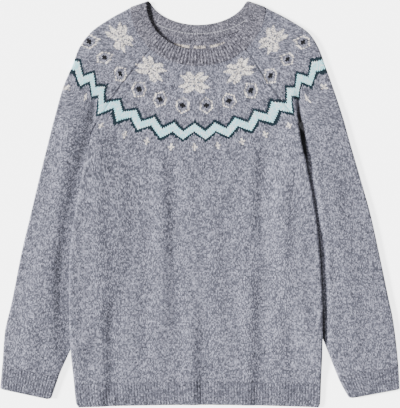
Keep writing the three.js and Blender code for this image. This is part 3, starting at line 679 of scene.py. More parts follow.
def yoke_of_back(plan):
    """The same for the under layer, counted on from the folds of the sleeves."""
    to_left = plan[..., 0] < YOKE_X

    def fold_at(ring, column):
        return np.where(to_left, *(np.interp(ring, fold_lines[side][0], fold_lines[side][column])
                                   for side in ("left", "right")))

    def circle(ring):
        bottom = ring + lerp(36.0, 46.7, ramp(ring, 300, 590))
        reach, rise = fold_at(ring, 1), fold_at(ring, 2) - bottom
        radius = (reach ** 2 + rise ** 2) / (2 * rise)
        return bottom + radius, radius, reach

    low, high = (np.full(plan.shape[:-1], float(level)) for level in (300, 600))
    ring = solve_ring(lambda at: polar(plan, circle(at)[0])[0] > circle(at)[1], low, high)
    centre, radius, reach = circle(ring)
    share = np.abs(polar(plan, centre)[1]) / np.degrees(np.arcsin(reach / radius))
    half_turn = WHOLE_TURN / 2
    angle = half_turn - share * (half_turn - fold_at(ring, 3))
    return ring, np.where(to_left, -angle, angle)


for side, (ring, _, _, angle) in fold_lines.items():
    print(side, "fold: rings", ring[[0, -1]].round(), "angles", angle[[0, -1]].round(1))

# %% [markdown]
# Every piece starts as one flat grid and is laid into place point by point, which keeps its stitches in
# even rows. A UV map counts its stitches and its rows of knitting, and an attribute keeps the ring. A
# Solidify modifier then gives the sheet the thickness of its wall.

# %% Laying a grid of knitting into place
WALE, COURSE = 3.35, 2.35         # one stitch is this wide and this high


def painted_seam_darkness(places, seamed):
    """How much shade is painted into each point at either end of its row, where the seam is: strongest in the
    seam, fading within a stitch.
    """
    steps = np.linalg.norm(np.diff(places, axis=1), axis=2)
    along = np.concatenate([np.zeros((len(places), 1)), np.cumsum(steps, axis=1)], axis=1)
    beside = np.minimum(along, along[:, -1:] - along)
    return 0.6 * np.exp(-(beside / SEAM_SPREAD) ** 2) * seamed[:, None] * seam_pull(places[..., 1])


def knit_piece(name, places, stitches, ring=None, outwards=1, joined=None, wall=WALL, inside=0, deep=None):
    """places: rows x columns x 3, in pattern millimetres. joined says which rows close into a tube."""
    rows, columns = places.shape[:2]
    laid = in_frame(places)
    bm = bmesh.new()
    knit = bm.loops.layers.uv.new("knit")
    # the second layer holds the shade painted into the wool of the creases and seams
    yoke, crease = (bm.verts.layers.float.new(layer) for layer in ("yoke_ring", "deep"))
    bmesh.ops.create_grid(bm, x_segments=columns - 1, y_segments=rows - 1, size=0.5)
    spot = {vert: (round((vert.co.y + 0.5) * (rows - 1)), round((vert.co.x + 0.5) * (columns - 1)))
            for vert in bm.verts}
    for face in bm.faces:
        for loop in face.loops:
            loop[knit].uv = stitches[spot[loop.vert]]
    for vert, at in spot.items():
        vert.co = laid[at]
        vert[yoke] = 0.0 if ring is None else ring[at]
        vert[crease] = 0.0 if deep is None else deep[at]
    if outwards < 0:
        bmesh.ops.reverse_faces(bm, faces=bm.faces)
    if joined is not None:
        edge = [vert for vert, (j, i) in spot.items() if i in (0, columns - 1) and joined[j]]
        bmesh.ops.remove_doubles(bm, verts=edge, dist=0.0002)
    for face in bm.faces:
        face.smooth = True
    if ring is not None:
        for edge in bm.edges:         # the neck edge is cut square where the neckband is linked on
            edge.smooth = any(spot[vert][0] < rows - 1 for vert in edge.verts)
    mesh = bpy.data.meshes.new(name)
    bm.to_mesh(mesh)
    bm.free()
    piece = bpy.data.objects.new(name, mesh)
    bpy.context.scene.collection.objects.link(piece)
    if wall:
        thick = piece.modifiers.new("wall", "SOLIDIFY")
        thick.thickness = wall * MM
        thick.offset = 0.0
        thick.material_offset = inside
    print(name, rows, "x", columns, "->", len(mesh.polygons), "faces")
    return piece


# %% [markdown]
# The front and the back are the two largest panels, plain stocking stitch below and coloured rounds above.
# Each is one grid here: level rows up to the underarm, then rows between the raglan seams that bend more and
# more like the neck. A solid block pushed into this shape wouldn't keep its stitches in rows.

# %% Front and back panels
PANEL_COLUMNS = 144
LOW_LEVELS = np.linspace(HEM_LEVEL, 489.0, 150)
RAGLAN_ROWS = np.linspace(UNDERARM, NECK_SEAM, 45)
YOKE_FOOT, YOKE_FADE = 440.0, 270.0          # below the yoke the rows straighten between these rings
BACK_DROP = 40.0                  # the same round lies this much higher on the back
HALF_ROUND = WHOLE_TURN / 2 * STITCHES_PER_DEGREE


def stitches_on(ring, angle, wale, course):
    """Stitch and row counts: along the rounds in the yoke, and as given below it."""
    straight = ramp(ring, YOKE_FOOT, YOKE_FADE)
    return np.stack([lerp(angle * STITCHES_PER_DEGREE, wale, straight),
                     lerp(ring / COURSE, course, straight)], -1)


def panel_places(half):
    rows = [body_row(half, PANEL_COLUMNS, level=level)[0] for level in LOW_LEVELS]
    rows += [body_row(half, PANEL_COLUMNS, row=row)[0] for row in RAGLAN_ROWS]
    return np.array(rows)


EDGE_SHADE = 0.36                 # the body's left side fold is this deep in shadow
pieces = {}
ON_RAGLAN = np.arange(len(LOW_LEVELS) + len(RAGLAN_ROWS)) >= len(LOW_LEVELS)
places = panel_places("front")
ring, angle = yoke_of_front(places[..., :2])
stitches = stitches_on(ring, angle, (places[..., 0] - YOKE_X) / WALE, places[..., 1] / COURSE)
left_edge = ramp(places[..., 0] - places[:, :1, 0], 4.0, 0.5) * ramp(places[..., 1], 330, 410)
left_edge = left_edge * ~ON_RAGLAN[:, None]
pieces["front"] = knit_piece("body_front", places, stitches, ring, inside=1,
                             deep=painted_seam_darkness(places, ON_RAGLAN) + EDGE_SHADE * left_edge)

places = panel_places("back")
ring, angle = yoke_of_back(places[..., :2])
angle = np.where(angle < 0, angle + WHOLE_TURN, angle)
wale = HALF_ROUND - (places[..., 0] - YOKE_X) / WALE
stitches = stitches_on(ring, angle, wale, (places[..., 1] - BACK_DROP) / COURSE)
pieces["back"] = knit_piece("body_back", places, stitches, ring, outwards=-1, inside=1,
                            deep=painted_seam_darkness(places, ON_RAGLAN))

# %% [markdown]
# A raglan sleeve is knitted as a tapering panel and closed under the arm. Here one grid goes right round it:
# its rows join into a tube below the underarm and stay open above it, along the raglan seams. The crease
# beside the body has its own table of painted shade, kept as an attribute, because the groove that is modelled
# is too shallow to go nearly black by itself.

# %% Sleeves
# shade painted along the crease beside each sleeve: how far up, the line's x, half its width, and how dark
# (depth)
PAINTED_CREASE_LINES = {
    "right": rows_of("up x half depth", [
        (100, 215, 2.0, 0.5), (133, 214.0, 2.6, 0.85), (185, 211.2, 2.0, 0.8), (237, 208.6, 3.2, 0.85),
        (289, 205.4, 2.0, 0.7), (315, 201.6, 0.6, 0.4), (366, 194.7, 0.6, 0.4), (392, 190.4, 1.0, 0.6),
        (410, 187.6, 1.5, 0.75), (427, 184.6, 2.3, 0.9), (444, 181.2, 3.9, 1.0), (461, 177.6, 5.6, 1.0),
        (479, 174.8, 6.5, 1.0), (487, 173.7, 6.0, 1.0), (505, 171.0, 3.7, 0.95), (522, 169.6, 2.1, 0.8),
        (532, 170.0, 1.2, 0.7), (538, 170.4, 0.8, 0.4), (546, 170.6, 0.8, 0.0),
    ]),
    "left": rows_of("up x half depth", [
        (100, -246, 4.0, 0.0), (150, -248, 6.0, 0.25), (219, -247, 6.0, 0.4), (262, -244, 6.0, 0.35),
        (310, -236, 6.0, 0.1), (358, -229, 6.0, 0.15), (400, -218, 6.0, 0.2), (430, -208, 6.0, 0.4),
        (463, -199, 6.0, 0.4), (500, -191, 6.0, 0.35), (530, -185, 4.0, 0.2), (556, -183, 3.0, 0.0),
    ]),
}
painted_crease_tables = {side: smooth_table([row["up"] for row in rows], rows) for side, rows in PAINTED_CREASE_LINES.items()}


def painted_crease_darkness(side, plan):
    """How much shade is painted into the wool along the crease beside the body, where little light gets in."""
    line = painted_crease_tables[side](plan[..., 1])
    aside = np.abs(plan[..., 0] - line["x"])
    return line["depth"] * ramp(aside, line["half"] + 1.6, line["half"] - 1.6)


SLEEVE_ROWS = np.concatenate([np.linspace(CUFF_SEAM, UNDERARM, 170)[:-1], RAGLAN_ROWS])
TOP_COLUMNS, UNDER_COLUMNS = 60, 34
LAST_ROUND = 385.0                # the ring whose angle at the outer fold sets the count below the yoke
FOLD_COLUMN = TURN_STEPS + TOP_COLUMNS + (FOLD_STEPS + 1) // 2
for side, sign in SIGN.items():
    sections = [sleeve_section(side, row, TOP_COLUMNS, UNDER_COLUMNS) for row in SLEEVE_ROWS]
    places, _, plan, on_top = (np.array([section[k] for section in sections]) for k in range(4))
    steps = np.linalg.norm(np.diff(places, axis=1), axis=2)
    around = np.concatenate([np.zeros((len(places), 1)), np.cumsum(steps, axis=1)], axis=1)
    centre_line = places[:, TURN_STEPS + TOP_COLUMNS // 2, :2]
    along = np.append(0.0, np.cumsum(np.linalg.norm(np.diff(centre_line, axis=0), axis=1)))
    top_ring, top_angle = yoke_of_front(plan)
    under_ring, under_angle = yoke_of_back(plan)
    ring, angle = np.where(on_top, top_ring, under_ring), np.where(on_top, top_angle, under_angle)
    armpit = int(np.argmin(np.abs(SLEEVE_ROWS - UNDERARM)))
    fold_angle = float(np.interp(LAST_ROUND, fold_lines[side][0], fold_lines[side][3]))
    wale = sign * (fold_angle * STITCHES_PER_DEGREE + (around - around[:, FOLD_COLUMN, None]) / WALE)
    course = (ring[armpit, TURN_STEPS + TOP_COLUMNS // 2] + along - along[armpit]) / COURSE
    stitches = stitches_on(ring, angle, wale, np.broadcast_to(course[:, None], wale.shape))
    pieces[f"sleeve_{side}"] = knit_piece(f"sleeve_{side}_wool", places, stitches, ring, outwards=sign,
                                          joined=SLEEVE_ROWS < UNDERARM, inside=1,
                                          deep=np.maximum(painted_seam_darkness(places, SLEEVE_ROWS >= UNDERARM),
                                                          painted_crease_darkness(side, plan) * on_top))

# %% [markdown]
# The hem is knitted on below the body in single rib, a knit and a purl column in turn. A knit column stands
# out and a purl column sinks in, so the height of the layer follows a cosine across the columns. The back has
# half of that relief, as it lies pressed on the table.

# %% Hems
RIB_RELIEF = 0.3                  # a rib stands out and sinks in by this
PER_RIB = 8                       # columns of the grid to each rib


def rib_wave(turns):
    return RIB_RELIEF * np.cos(2 * math.pi * turns)


HEM_ROWS = np.linspace(HEM_LEVEL - HEM_RIB, HEM_LEVEL, 20)
for half, way in (("front", 1), ("back", -1)):
    edges = body_edge(HEM_LEVEL)
    ribs = round(float(edges["right"] - edges["left"]) / RIB_PITCH)
    depth = 1.0 if half == "front" else -0.5
    rows = [body_row(half, ribs * PER_RIB, level=level, relief=lambda share: depth * rib_wave(share * ribs))[0]
            for level in HEM_ROWS]
    places = np.array(rows)
    turns = (np.arange(places.shape[1]) - TURN_STEPS) / PER_RIB
    stitches = np.stack(np.broadcast_arrays(2 * turns[None, :], places[..., 1] / COURSE), -1)
    pieces[f"hem_{half}"] = knit_piece(f"rib_hem_{half}", places, stitches, outwards=way)

# %% [markdown]
# A cuff is the same rib at the end of the sleeve. The section of the sleeve is spaced out evenly again, so that
# every rib is equally wide, and each point is moved out along the way that it faces. The two corners of the
# open end are rounded, because rib draws in there.

# %% Cuffs
CUFF_ROWS = np.linspace(0, CUFF_SEAM, 18)
INNER_CORNER, OUTER_CORNER = 8.5, 6.0        # how far in from each corner the rounding starts
for side, sign in SIGN.items():
    rows = []
    ribs = None
    for row in CUFF_ROWS[::-1]:
        places, facing, _, _ = sleeve_section(side, row, 40, 30)
        here = sleeve_table[side](row)
        inner = np.array([sign * here["inner"], here["inner_up"]])
        outer = np.array([sign * here["outer"], here["outer_up"]])
        for corner, size in ((inner, INNER_CORNER), (outer, OUTER_CORNER)):
            short = np.clip(1 - np.linalg.norm(places[:, :2] - corner, axis=1) / size, 0, 1)
            places[:, 1] += size * 0.8 * (1 - np.sqrt(1 - short ** 2)) * (1 - row / CUFF_SEAM) ** 2
        lengths = np.append(0.0, np.cumsum(np.linalg.norm(np.diff(places, axis=0), axis=1)))
        ribs = ribs or round(lengths[-1] / RIB_PITCH)
        shares = np.linspace(0, 1, ribs * PER_RIB + 1)
        even = np.column_stack([np.interp(shares * lengths[-1], lengths, places[:, k]) for k in range(3)])
        look = np.column_stack([np.interp(shares * lengths[-1], lengths, facing[:, k]) for k in range(3)])
        look /= np.linalg.norm(look, axis=1)[:, None]
        raised = np.where(look[:, 2] < -0.5, 0.0, rib_wave(shares * ribs))
        rows.append(even + look * raised[:, None])
    places = np.array(rows[::-1])
    turns = np.linspace(0, ribs, ribs * PER_RIB + 1)
    stitches = np.stack(np.broadcast_arrays(sign * 2 * turns[None, :], places[..., 1] / COURSE), -1)
    pieces[f"cuff_{side}"] = knit_piece(
        f"rib_cuff_{side}", places, stitches, outwards=sign, joined=np.full(len(places), True))

# %% [markdown]
# The neckband is knitted at twice its depth, folded inwards and linked down. Its profile starts a little way
# under the edge of the yoke, goes up over the outside, turns at the rim and comes back down the inside. That
# closed profile is carried round the front and back necklines, with a turn at each shoulder.

# %% Neckband
BAND_SHOULDER, BAND_CENTRE, BAND_UNDER = 7.9, 6.3, BAND_WALL / 2
BAND_FOLD = (BAND_SHOULDER - BAND_UNDER) / 2
BAND_DEPTH = 26                   # from the linked edge to the rim
FOLD_FROM, FOLD_POINTS = 0.93, 9  # the fold at the rim starts at this share of the depth
SEWN_OVER = 1.2                   # how far the band goes in under the edge that it is linked to


def band_arcs(across):
    return {half: tuple(lerp(a, b, across) for a, b in zip(NECK_ARCS["seam"][half], NECK_ARCS["rim"][half]))
            for half in ("front", "back")}


def band_line(across, arc_steps=400, turn_steps=12):
    """Middle points and facings right round the band, from the left shoulder over the front and back."""
    arcs = band_arcs(across)
    share = np.linspace(0, 1, arc_steps + 1)
    parts = []
    for half in ("front", "back"):
        end = shoulder_angle(arcs, half)
        plan = neck_point(arcs[half], lerp(-end, end, share))
        if half == "front":
            level = lerp(BAND_CENTRE, BAND_SHOULDER, np.abs(2 * share - 1) ** 3)
            facing = np.tile([0.0, 0.0, 1.0], (len(share), 1))
        else:
            plan, level = plan[::-1], np.full(len(share), BAND_UNDER)
            facing = np.tile([0.0, 0.0, -1.0], (len(share), 1))
        parts.append((np.column_stack([plan, level]), facing))
    turn_share = np.linspace(0, 1, turn_steps + 1)[1:-1]
    turns = {}
    for sign in (1, -1):
        ends = [neck_point(arcs[half], sign * shoulder_angle(arcs, half)) for half in ("front", "back")]
        facing = np.column_stack([np.zeros_like(turn_share), np.sin(math.pi * turn_share),
                                  np.cos(math.pi * turn_share)])
        middle = np.column_stack([lerp(ends[0], ends[1], turn_share[:, None]),
                                  np.full(len(turn_share), (BAND_SHOULDER + BAND_UNDER) / 2)])
        turns[sign] = (middle + facing * BAND_FOLD, facing)
    left = (turns[-1][0][::-1], turns[-1][1][::-1])
    order = [parts[0], turns[1], parts[1], left]
    return np.concatenate([part[0] for part in order]), np.concatenate([part[1] for part in order])


measure = band_line(0.35)[0]
band_steps = np.linalg.norm(np.diff(np.concatenate([measure, measure[:1]]), axis=0), axis=1)
band_length = band_steps.sum()
band_ribs = round(band_length / NECK_RIB_PITCH)
reached = np.append(0.0, np.cumsum(band_steps))
shares = np.linspace(0, 1, band_ribs * PER_RIB + 1)
BAND_PROFILE = [(0.0, -1.0), (-SEWN_OVER / BAND_DEPTH, -0.7), (-SEWN_OVER / BAND_DEPTH, 0.7), (0.0, 1.0)]
BAND_PROFILE += [(across, 1.0) for across in (0.02, *np.linspace(0.1, FOLD_FROM, 9))]
fold_angles = np.linspace(0, math.pi, FOLD_POINTS)[1:-1]
BAND_PROFILE += [(FOLD_FROM + 0.07 * math.sin(a), math.cos(a)) for a in fold_angles]
BAND_PROFILE += [(across, -1.0) for across in np.linspace(FOLD_FROM, 0.08, 10)]
BAND_PROFILE.append(BAND_PROFILE[0])
rows = []
for across, face in BAND_PROFILE:
    line, facing = band_line(across)
    line, facing = (np.concatenate([part, part[:1]]) for part in (line, facing))
    at = [np.column_stack([np.interp(shares * band_length, reached, part[:, k]) for k in range(3)])
          for part in (line, facing)]
    up_half = np.where(at[1][:, 2] > -0.5, face > 0, face < 0)
    raised = np.where(up_half, rib_wave(shares * band_ribs), 0.0) * min(1.0, abs(face))
    # the ribs lie open at the shoulders
    slack = lerp(1.0, 0.4, ramp(np.abs(at[0][:, 0] - NECK_X), 62, 92))
    raised *= np.where(at[1][:, 2] > -0.5, 1.5 * slack, 0.35)
    rows.append(at[0] + at[1] * (face * BAND_WALL / 2 + np.sign(face) * raised)[:, None])
places = np.array(rows)
turns = np.linspace(0, band_ribs, band_ribs * PER_RIB + 1)
depths = np.cumsum([0.0] + [math.hypot((a[0] - b[0]) * BAND_DEPTH, (a[1] - b[1]) * (BAND_WALL / 2))
                            for a, b in zip(BAND_PROFILE, BAND_PROFILE[1:])])
stitches = np.stack(np.broadcast_arrays(2 * turns[None, :], depths[:, None] / COURSE), -1)
RIM_ROW = np.interp(math.pi / 2, fold_angles, depths[14:21]) / COURSE
CHAIN_ROW = np.interp(0.36, [BAND_PROFILE[-2][0], FOLD_FROM], [depths[-2], depths[21]]) / COURSE
RIM_SHADE = 0.75                  # the inside of the band lies in shadow under the left of the rim
level, half, reach = NECK_ARCS["rim"]["front"]
aside, up = places[..., 0] - NECK_X, places[..., 1] - level
within = (1 - np.hypot(aside / half, up / reach)) * half
wide = lerp(1.5, 7.5, ramp(places[..., 1], 624, 676))
under_rim = ramp(within, wide + 2.5, wide - 2.5) * ramp(aside, -22, -46) * (within > 0.3)
pieces["neckband"] = knit_piece("rib_neckband", places, stitches, outwards=1, wall=0,
                                joined=np.full(len(places), True), deep=RIM_SHADE * under_rim)
print("band rim at row", round(float(RIM_ROW), 1), "and chain at row", round(float(CHAIN_ROW), 1), "of",
      round(depths[-1] / COURSE, 1))

# %% [markdown]
# Colours are written as the sRGB codes of a dye chart, and one function turns them to the linear values that
# Blender works in. One more adds a node with its settings and links, which keeps the recipes below short.

# %% Colours and nodes
def linear(code):
    channels = [int(code[i:i + 2], 16) / 255 for i in (1, 3, 5)]
    return tuple(c / 12.92 if c <= 0.04045 else ((c + 0.055) / 1.055) ** 2.4 for c in channels) + (1.0,)


def add(tree, kind, *values, **settings):
    """Adds a node, such as Math.ADD, and sets or links its sockets in order; gives its first output."""
    kind, _, operation = kind.partition(".")
    node = tree.nodes.new("ShaderNode" + kind)
    if operation:
        node.operation = operation
    for name, value in settings.items():
        setattr(node, name, value)
    for socket, value in zip(node.inputs, values):
        if isinstance(value, bpy.types.NodeSocket):
            tree.links.new(value, socket)
        elif value is not None:
            socket.default_value = value
    return node.outputs[0]


# %% [markdown]
# Stocking stitch shows columns of small Vs, each with two slanted legs. The UV map counts stitches across and
# rows up. The whole part of a count names a stitch, and the rest says where in it a point lies, so the
# stitches follow the cloth round its folds. Each stitch is drawn as coarse as it needs to be to show.

# %% Stitches
SLANT = 0.9                       # how far, in rows, the two legs of a stitch lean to meet in a V


def stitch_grid(tree, patterned, ribbed, slant):
    """Where a point lies among the stitches: its column, its row, and its place within the stitch."""
    uv = add(tree, "UVMap", uv_map="knit").node
    split = add(tree, "SeparateXYZ", uv.outputs[0]).node
    count, course = split.outputs[0], split.outputs[1]
    ring = add(tree, "Attribute", attribute_name="yoke_ring").node.outputs["Fac"]
    knit = {"ring": ring, "turns": count}
    if patterned:
        whole = ZIGZAGS * ZIGZAG_STITCHES
        rosettes, flakes = ROSETTES * ROSETTE_STITCHES / whole, FLAKES * FLAKE_STITCHES / whole
        knit["past zigzags"] = add(tree, "Math.GREATER_THAN", ring, ZIGZAG_TOP)
        knit["past rosettes"] = add(tree, "Math.GREATER_THAN", ring, ROSETTE_TOP)
        share = add(tree, "Math.MULTIPLY_ADD", knit["past zigzags"], rosettes - 1, 1.0)
        share = add(tree, "Math.MULTIPLY_ADD", knit["past rosettes"], flakes - rosettes, share)
        count = add(tree, "Math.MULTIPLY", count, share)
    if ribbed:
        count = add(tree, "Math.ADD", count, 0.5)
    aside = add(tree, "Math.SUBTRACT", add(tree, "Math.FRACT", count), 0.5)
    knit["aside"] = add(tree, "Math.ABSOLUTE", aside)
    knit["course"] = add(tree, "Math.MULTIPLY_ADD", knit["aside"], -slant, course)
    knit["count"] = count
    knit["column"] = add(tree, "Math.FLOOR", count)
    knit["leg"] = add(tree, "Math.FLOOR", add(tree, "Math.MULTIPLY", count, 2.0))
    knit["row"] = add(tree, "Math.FLOOR", knit["course"])
    return knit


# %% [markdown]
# Marled wool is spun from light and dark fibres together. Each leg of a stitch comes out in its own shade,
# with finer flecks in it, and slow clouds cross many stitches. The three are added up here and looked up in a
# short row of greys: dark, middle and light.

# %% Marled yarn
FLECK_SCALE, CLOUD_SCALE = (450.0, 340.0, 340.0), 105.0   # repeats to a metre: about 2 to 3 mm, and 10 mm
MARL = ((0.16, "#1c1c23"), (0.50, "#5b5c69"), (0.86, "#b3b3c5"))
NECK_MARL = ((0.16, "#1d1c22"), (0.50, "#5c5b66"), (0.86, "#b6b2c0"))


def marled_yarn(tree, knit, tone, marl):
    """Light and dark fibres spun together, so that each leg of a stitch comes out in its own shade."""
    leg = add(tree, "CombineXYZ", knit["leg"], knit["row"])
    chance = add(tree, "TexWhiteNoise", leg, noise_dimensions="3D")
    place = add(tree, "TexCoord").node.outputs["Object"]
    fibres = add(tree, "VectorMath.MULTIPLY", place, FLECK_SCALE)
    fleck = add(tree, "TexNoise", fibres, None, 1.0, 3.0, 0.6)
    cloud = add(tree, "TexNoise", place, None, CLOUD_SCALE, 2.0, 0.5)
    shade = add(tree, "Math.MULTIPLY_ADD", chance, 0.34, -0.145 + tone)
    shade = add(tree, "Math.MULTIPLY_ADD", fleck, 0.76, shade)
    shade = add(tree, "Math.MULTIPLY_ADD", cloud, 0.25, shade)
    colours = add(tree, "ValToRGB", shade).node
    stops = colours.color_ramp.elements
    stops[0].position, stops[0].color = marl[0][0], linear(marl[0][1])
    stops[1].position, stops[1].color = marl[2][0], linear(marl[2][1])
    middle = stops.new(marl[1][0])
    middle.color = linear(marl[1][1])
    return colours.outputs[0], fleck, chance, place


# %% [markdown]
# A coloured yoke is knitted from a chart, with one square for each stitch. Each motif is a rule here, on how
# far a stitch is from the middle of its repeat, across and up. That is shorter than a drawn chart and needs
# no image. On the wrong side, the yarns that wait their turn run across as floats.

# %% Chart of the yoke
CREAM, AQUA, FROST, TEAL, NIGHT = "#fdf3ea", "#9fe0ea", "#f6f1f4", "#071d27", "#07070d"
FLOAT, CHAIN = "#d8ccc0", "#aeadb6"
FLAKE_ROW, ROSETTE_ROW, PEAK_ROW, CROSS_ROW = 238, 221.5, 209.6, 191
CROSS_TOP = 465.0                 # the crosses stay below this ring


def inside(tree, value, low, high):
    """1 where the value lies between the two limits, and 0 elsewhere."""
    middle, half = (low + high) / 2, (high - low) / 2
    return add(tree, "Math.COMPARE", value, middle, half)


def all_of(tree, *masks):
    together = masks[0]
    for mask in masks[1:]:
        together = add(tree, "Math.MULTIPLY", together, mask)
    return together


def from_middle(tree, column, row, first, half_repeat, middle_row):
    """How many stitches and rows a place is from the middle of its motif."""
    i = add(tree, "Math.WRAP", add(tree, "Math.ADD", column, -first), half_repeat, -half_repeat)
    j = add(tree, "Math.ADD", row, -middle_row)
    return add(tree, "Math.ABSOLUTE", i), add(tree, "Math.ABSOLUTE", j)


def yoke_masks(tree, knit):
    """Where each coloured yarn is knitted, one mask for each layer of colour."""
    column, row, ring = knit["column"], knit["row"], knit["ring"]
    in_flakes = inside(tree, ring, ROSETTE_TOP, FLAKE_TOP)
    in_rosettes = inside(tree, ring, ZIGZAG_TOP, ROSETTE_TOP)
    in_zigzag = inside(tree, ring, BAND_FOOT, ZIGZAG_TOP)
    # eight-petalled snowflakes
    i, j = from_middle(tree, column, row, -2, FLAKE_STITCHES / 2, FLAKE_ROW)
    i, j = add(tree, "Math.MULTIPLY", i, 1.04), add(tree, "Math.MULTIPLY", j, 1.08)
    far, near = add(tree, "Math.MAXIMUM", i, j), add(tree, "Math.MINIMUM", i, j)
    apart = add(tree, "Math.SUBTRACT", far, near)
    petals = all_of(tree, inside(tree, near, -0.1, 5.3), inside(tree, apart, -0.1, 4.9),
                    add(tree, "Math.LESS_THAN", far, 8.5))
    between = all_of(tree, add(tree, "Math.LESS_THAN", apart, 0.7), add(tree, "Math.GREATER_THAN", near, 1.2))
    axis = all_of(tree, add(tree, "Math.LESS_THAN", near, 0.5), inside(tree, far, 1.5, 3.4))
    veins = add(tree, "Math.MAXIMUM", between, axis)
    flakes = all_of(tree, petals, add(tree, "Math.SUBTRACT", 1.0, veins), in_flakes)
    # rosettes: a ring of stitches round a dark heart
    i, j = from_middle(tree, column, row, 4, ROSETTE_STITCHES / 2, ROSETTE_ROW)
    width = add(tree, "Math.MINIMUM", add(tree, "Math.SUBTRACT", 5.5, j), 3.0)
    beyond = add(tree, "Math.SUBTRACT", i, width)
    solid = add(tree, "Math.MULTIPLY", add(tree, "Math.GREATER_THAN", j, 4.0), 2.0)
    filled, hollow = add(tree, "Math.ADD", beyond, solid), add(tree, "Math.ABSOLUTE", beyond)
    ring_of_stitches = inside(tree, add(tree, "Math.MINIMUM", filled, hollow), -0.5, 0.5)
    uneven = add(tree, "MapRange", knit["chance"], 0.05, 0.5, 0.35, 1.0)
    rings = all_of(tree, ring_of_stitches, in_rosettes, uneven)
    hearts = all_of(tree, add(tree, "Math.LESS_THAN", add(tree, "Math.ADD", i, j), 2.2), in_rosettes)
    # the zigzag, one row for each stitch, with its outlines set leg by leg
    leg = add(tree, "Math.MULTIPLY_ADD", knit["leg"], 0.5, 0.25)
    i, j = from_middle(tree, leg, row, -1.5, ZIGZAG_STITCHES / 2, PEAK_ROW)
    below = add(tree, "Math.SUBTRACT", PEAK_ROW, row)
    below = add(tree, "Math.SUBTRACT", below, i)
    beaded = add(tree, "Math.MULTIPLY_ADD", knit["chance"], 1.3, add(tree, "Math.ADD", below, -0.65))
    outline = all_of(tree, inside(tree, beaded, -1.4, 9.6), in_zigzag)
    water = all_of(tree, inside(tree, below, 1.1, 7.1), in_zigzag)
    # small crosses
    i, j = from_middle(tree, column, row, -2, ZIGZAG_STITCHES / 2, CROSS_ROW)
    reach = add(tree, "Math.MULTIPLY_ADD", j, 0.68, i)
    way = add(tree, "Math.ABSOLUTE", add(tree, "Math.ADD", knit["count"], 1.5))
    tucked_in = inside(tree, way, 51.0, 69.5)
    crosses = all_of(tree, add(tree, "Math.LESS_THAN", reach, 1.6), inside(tree, ring, BAND_FOOT, CROSS_TOP),
                     add(tree, "Math.SUBTRACT", 1.0, tucked_in))
    return ((outline, TEAL), (water, AQUA), (hearts, NIGHT), (rings, CREAM), (flakes, CREAM), (crosses, CREAM))


def float_masks(tree, knit):
    """The wrong side, where the yarns that aren't in use run across as floats."""
    i, _ = from_middle(tree, knit["count"], knit["row"], -1.5, FLAKE_STITCHES / 2, FLAKE_ROW)
    between = add(tree, "Math.ABSOLUTE", add(tree, "Math.WRAP", i, 5.8, -5.8))
    dash = all_of(tree, add(tree, "Math.LESS_THAN", between, 4.2), add(tree, "Math.LESS_THAN", i, 16.0))
    wave = add(tree, "Math.COSINE", add(tree, "Math.MULTIPLY", knit["count"], 2.1))
    scallop = add(tree, "Math.ABSOLUTE", wave)
    below = add(tree, "Math.LESS_THAN", knit["course"], add(tree, "Math.MULTIPLY_ADD", scallop, 1.5, 245.3))
    masks = [(all_of(tree, dash, below, add(tree, "Math.GREATER_THAN", knit["course"], 244.7)), FLOAT)]
    step = add(tree, "Math.WRAP", knit["column"], 6.0, 0.0)
    dash = add(tree, "Math.LESS_THAN", step, 4.5)
    for low, high, code in ((215.9, 227.5, FLOAT), (194.9, 210.5, AQUA)):
        masks.append((all_of(tree, dash, inside(tree, knit["row"], low, high),
                             inside(tree, knit["ring"], BAND_FOOT, FLAKE_TOP)), code))
    return masks


def chain_mask(tree, knit):
    """The linked row on the inside of the neckband."""
    step = add(tree, "Math.WRAP", knit["count"], 2.0, 0.0)
    return [(all_of(tree, inside(tree, knit["course"], CHAIN_ROW - 0.25, CHAIN_ROW + 0.25),
                    add(tree, "Math.LESS_THAN", step, 1.5)), CHAIN)]


# %% [markdown]
# Lambswool that has been brushed a little is matt and soft, with a faint sheen from its fuzz, so it is rough
# and hardly shiny. The strands rise in the bump, and shade is painted into the gaps between them and into the
# valleys of the rib. One function makes four kinds: stocking stitch, the purl side, rib, and the neckband. An
# attribute paints shade into the wool of the creases and seams, where little light gets in.

# %% Wool
DARKEST_PAINTED_SHADE = 0.06                    # what is left of the colour where the painted shade is darkest
PATTERNS = {"stocking": yoke_masks, "purl": float_masks, "neckband": chain_mask}


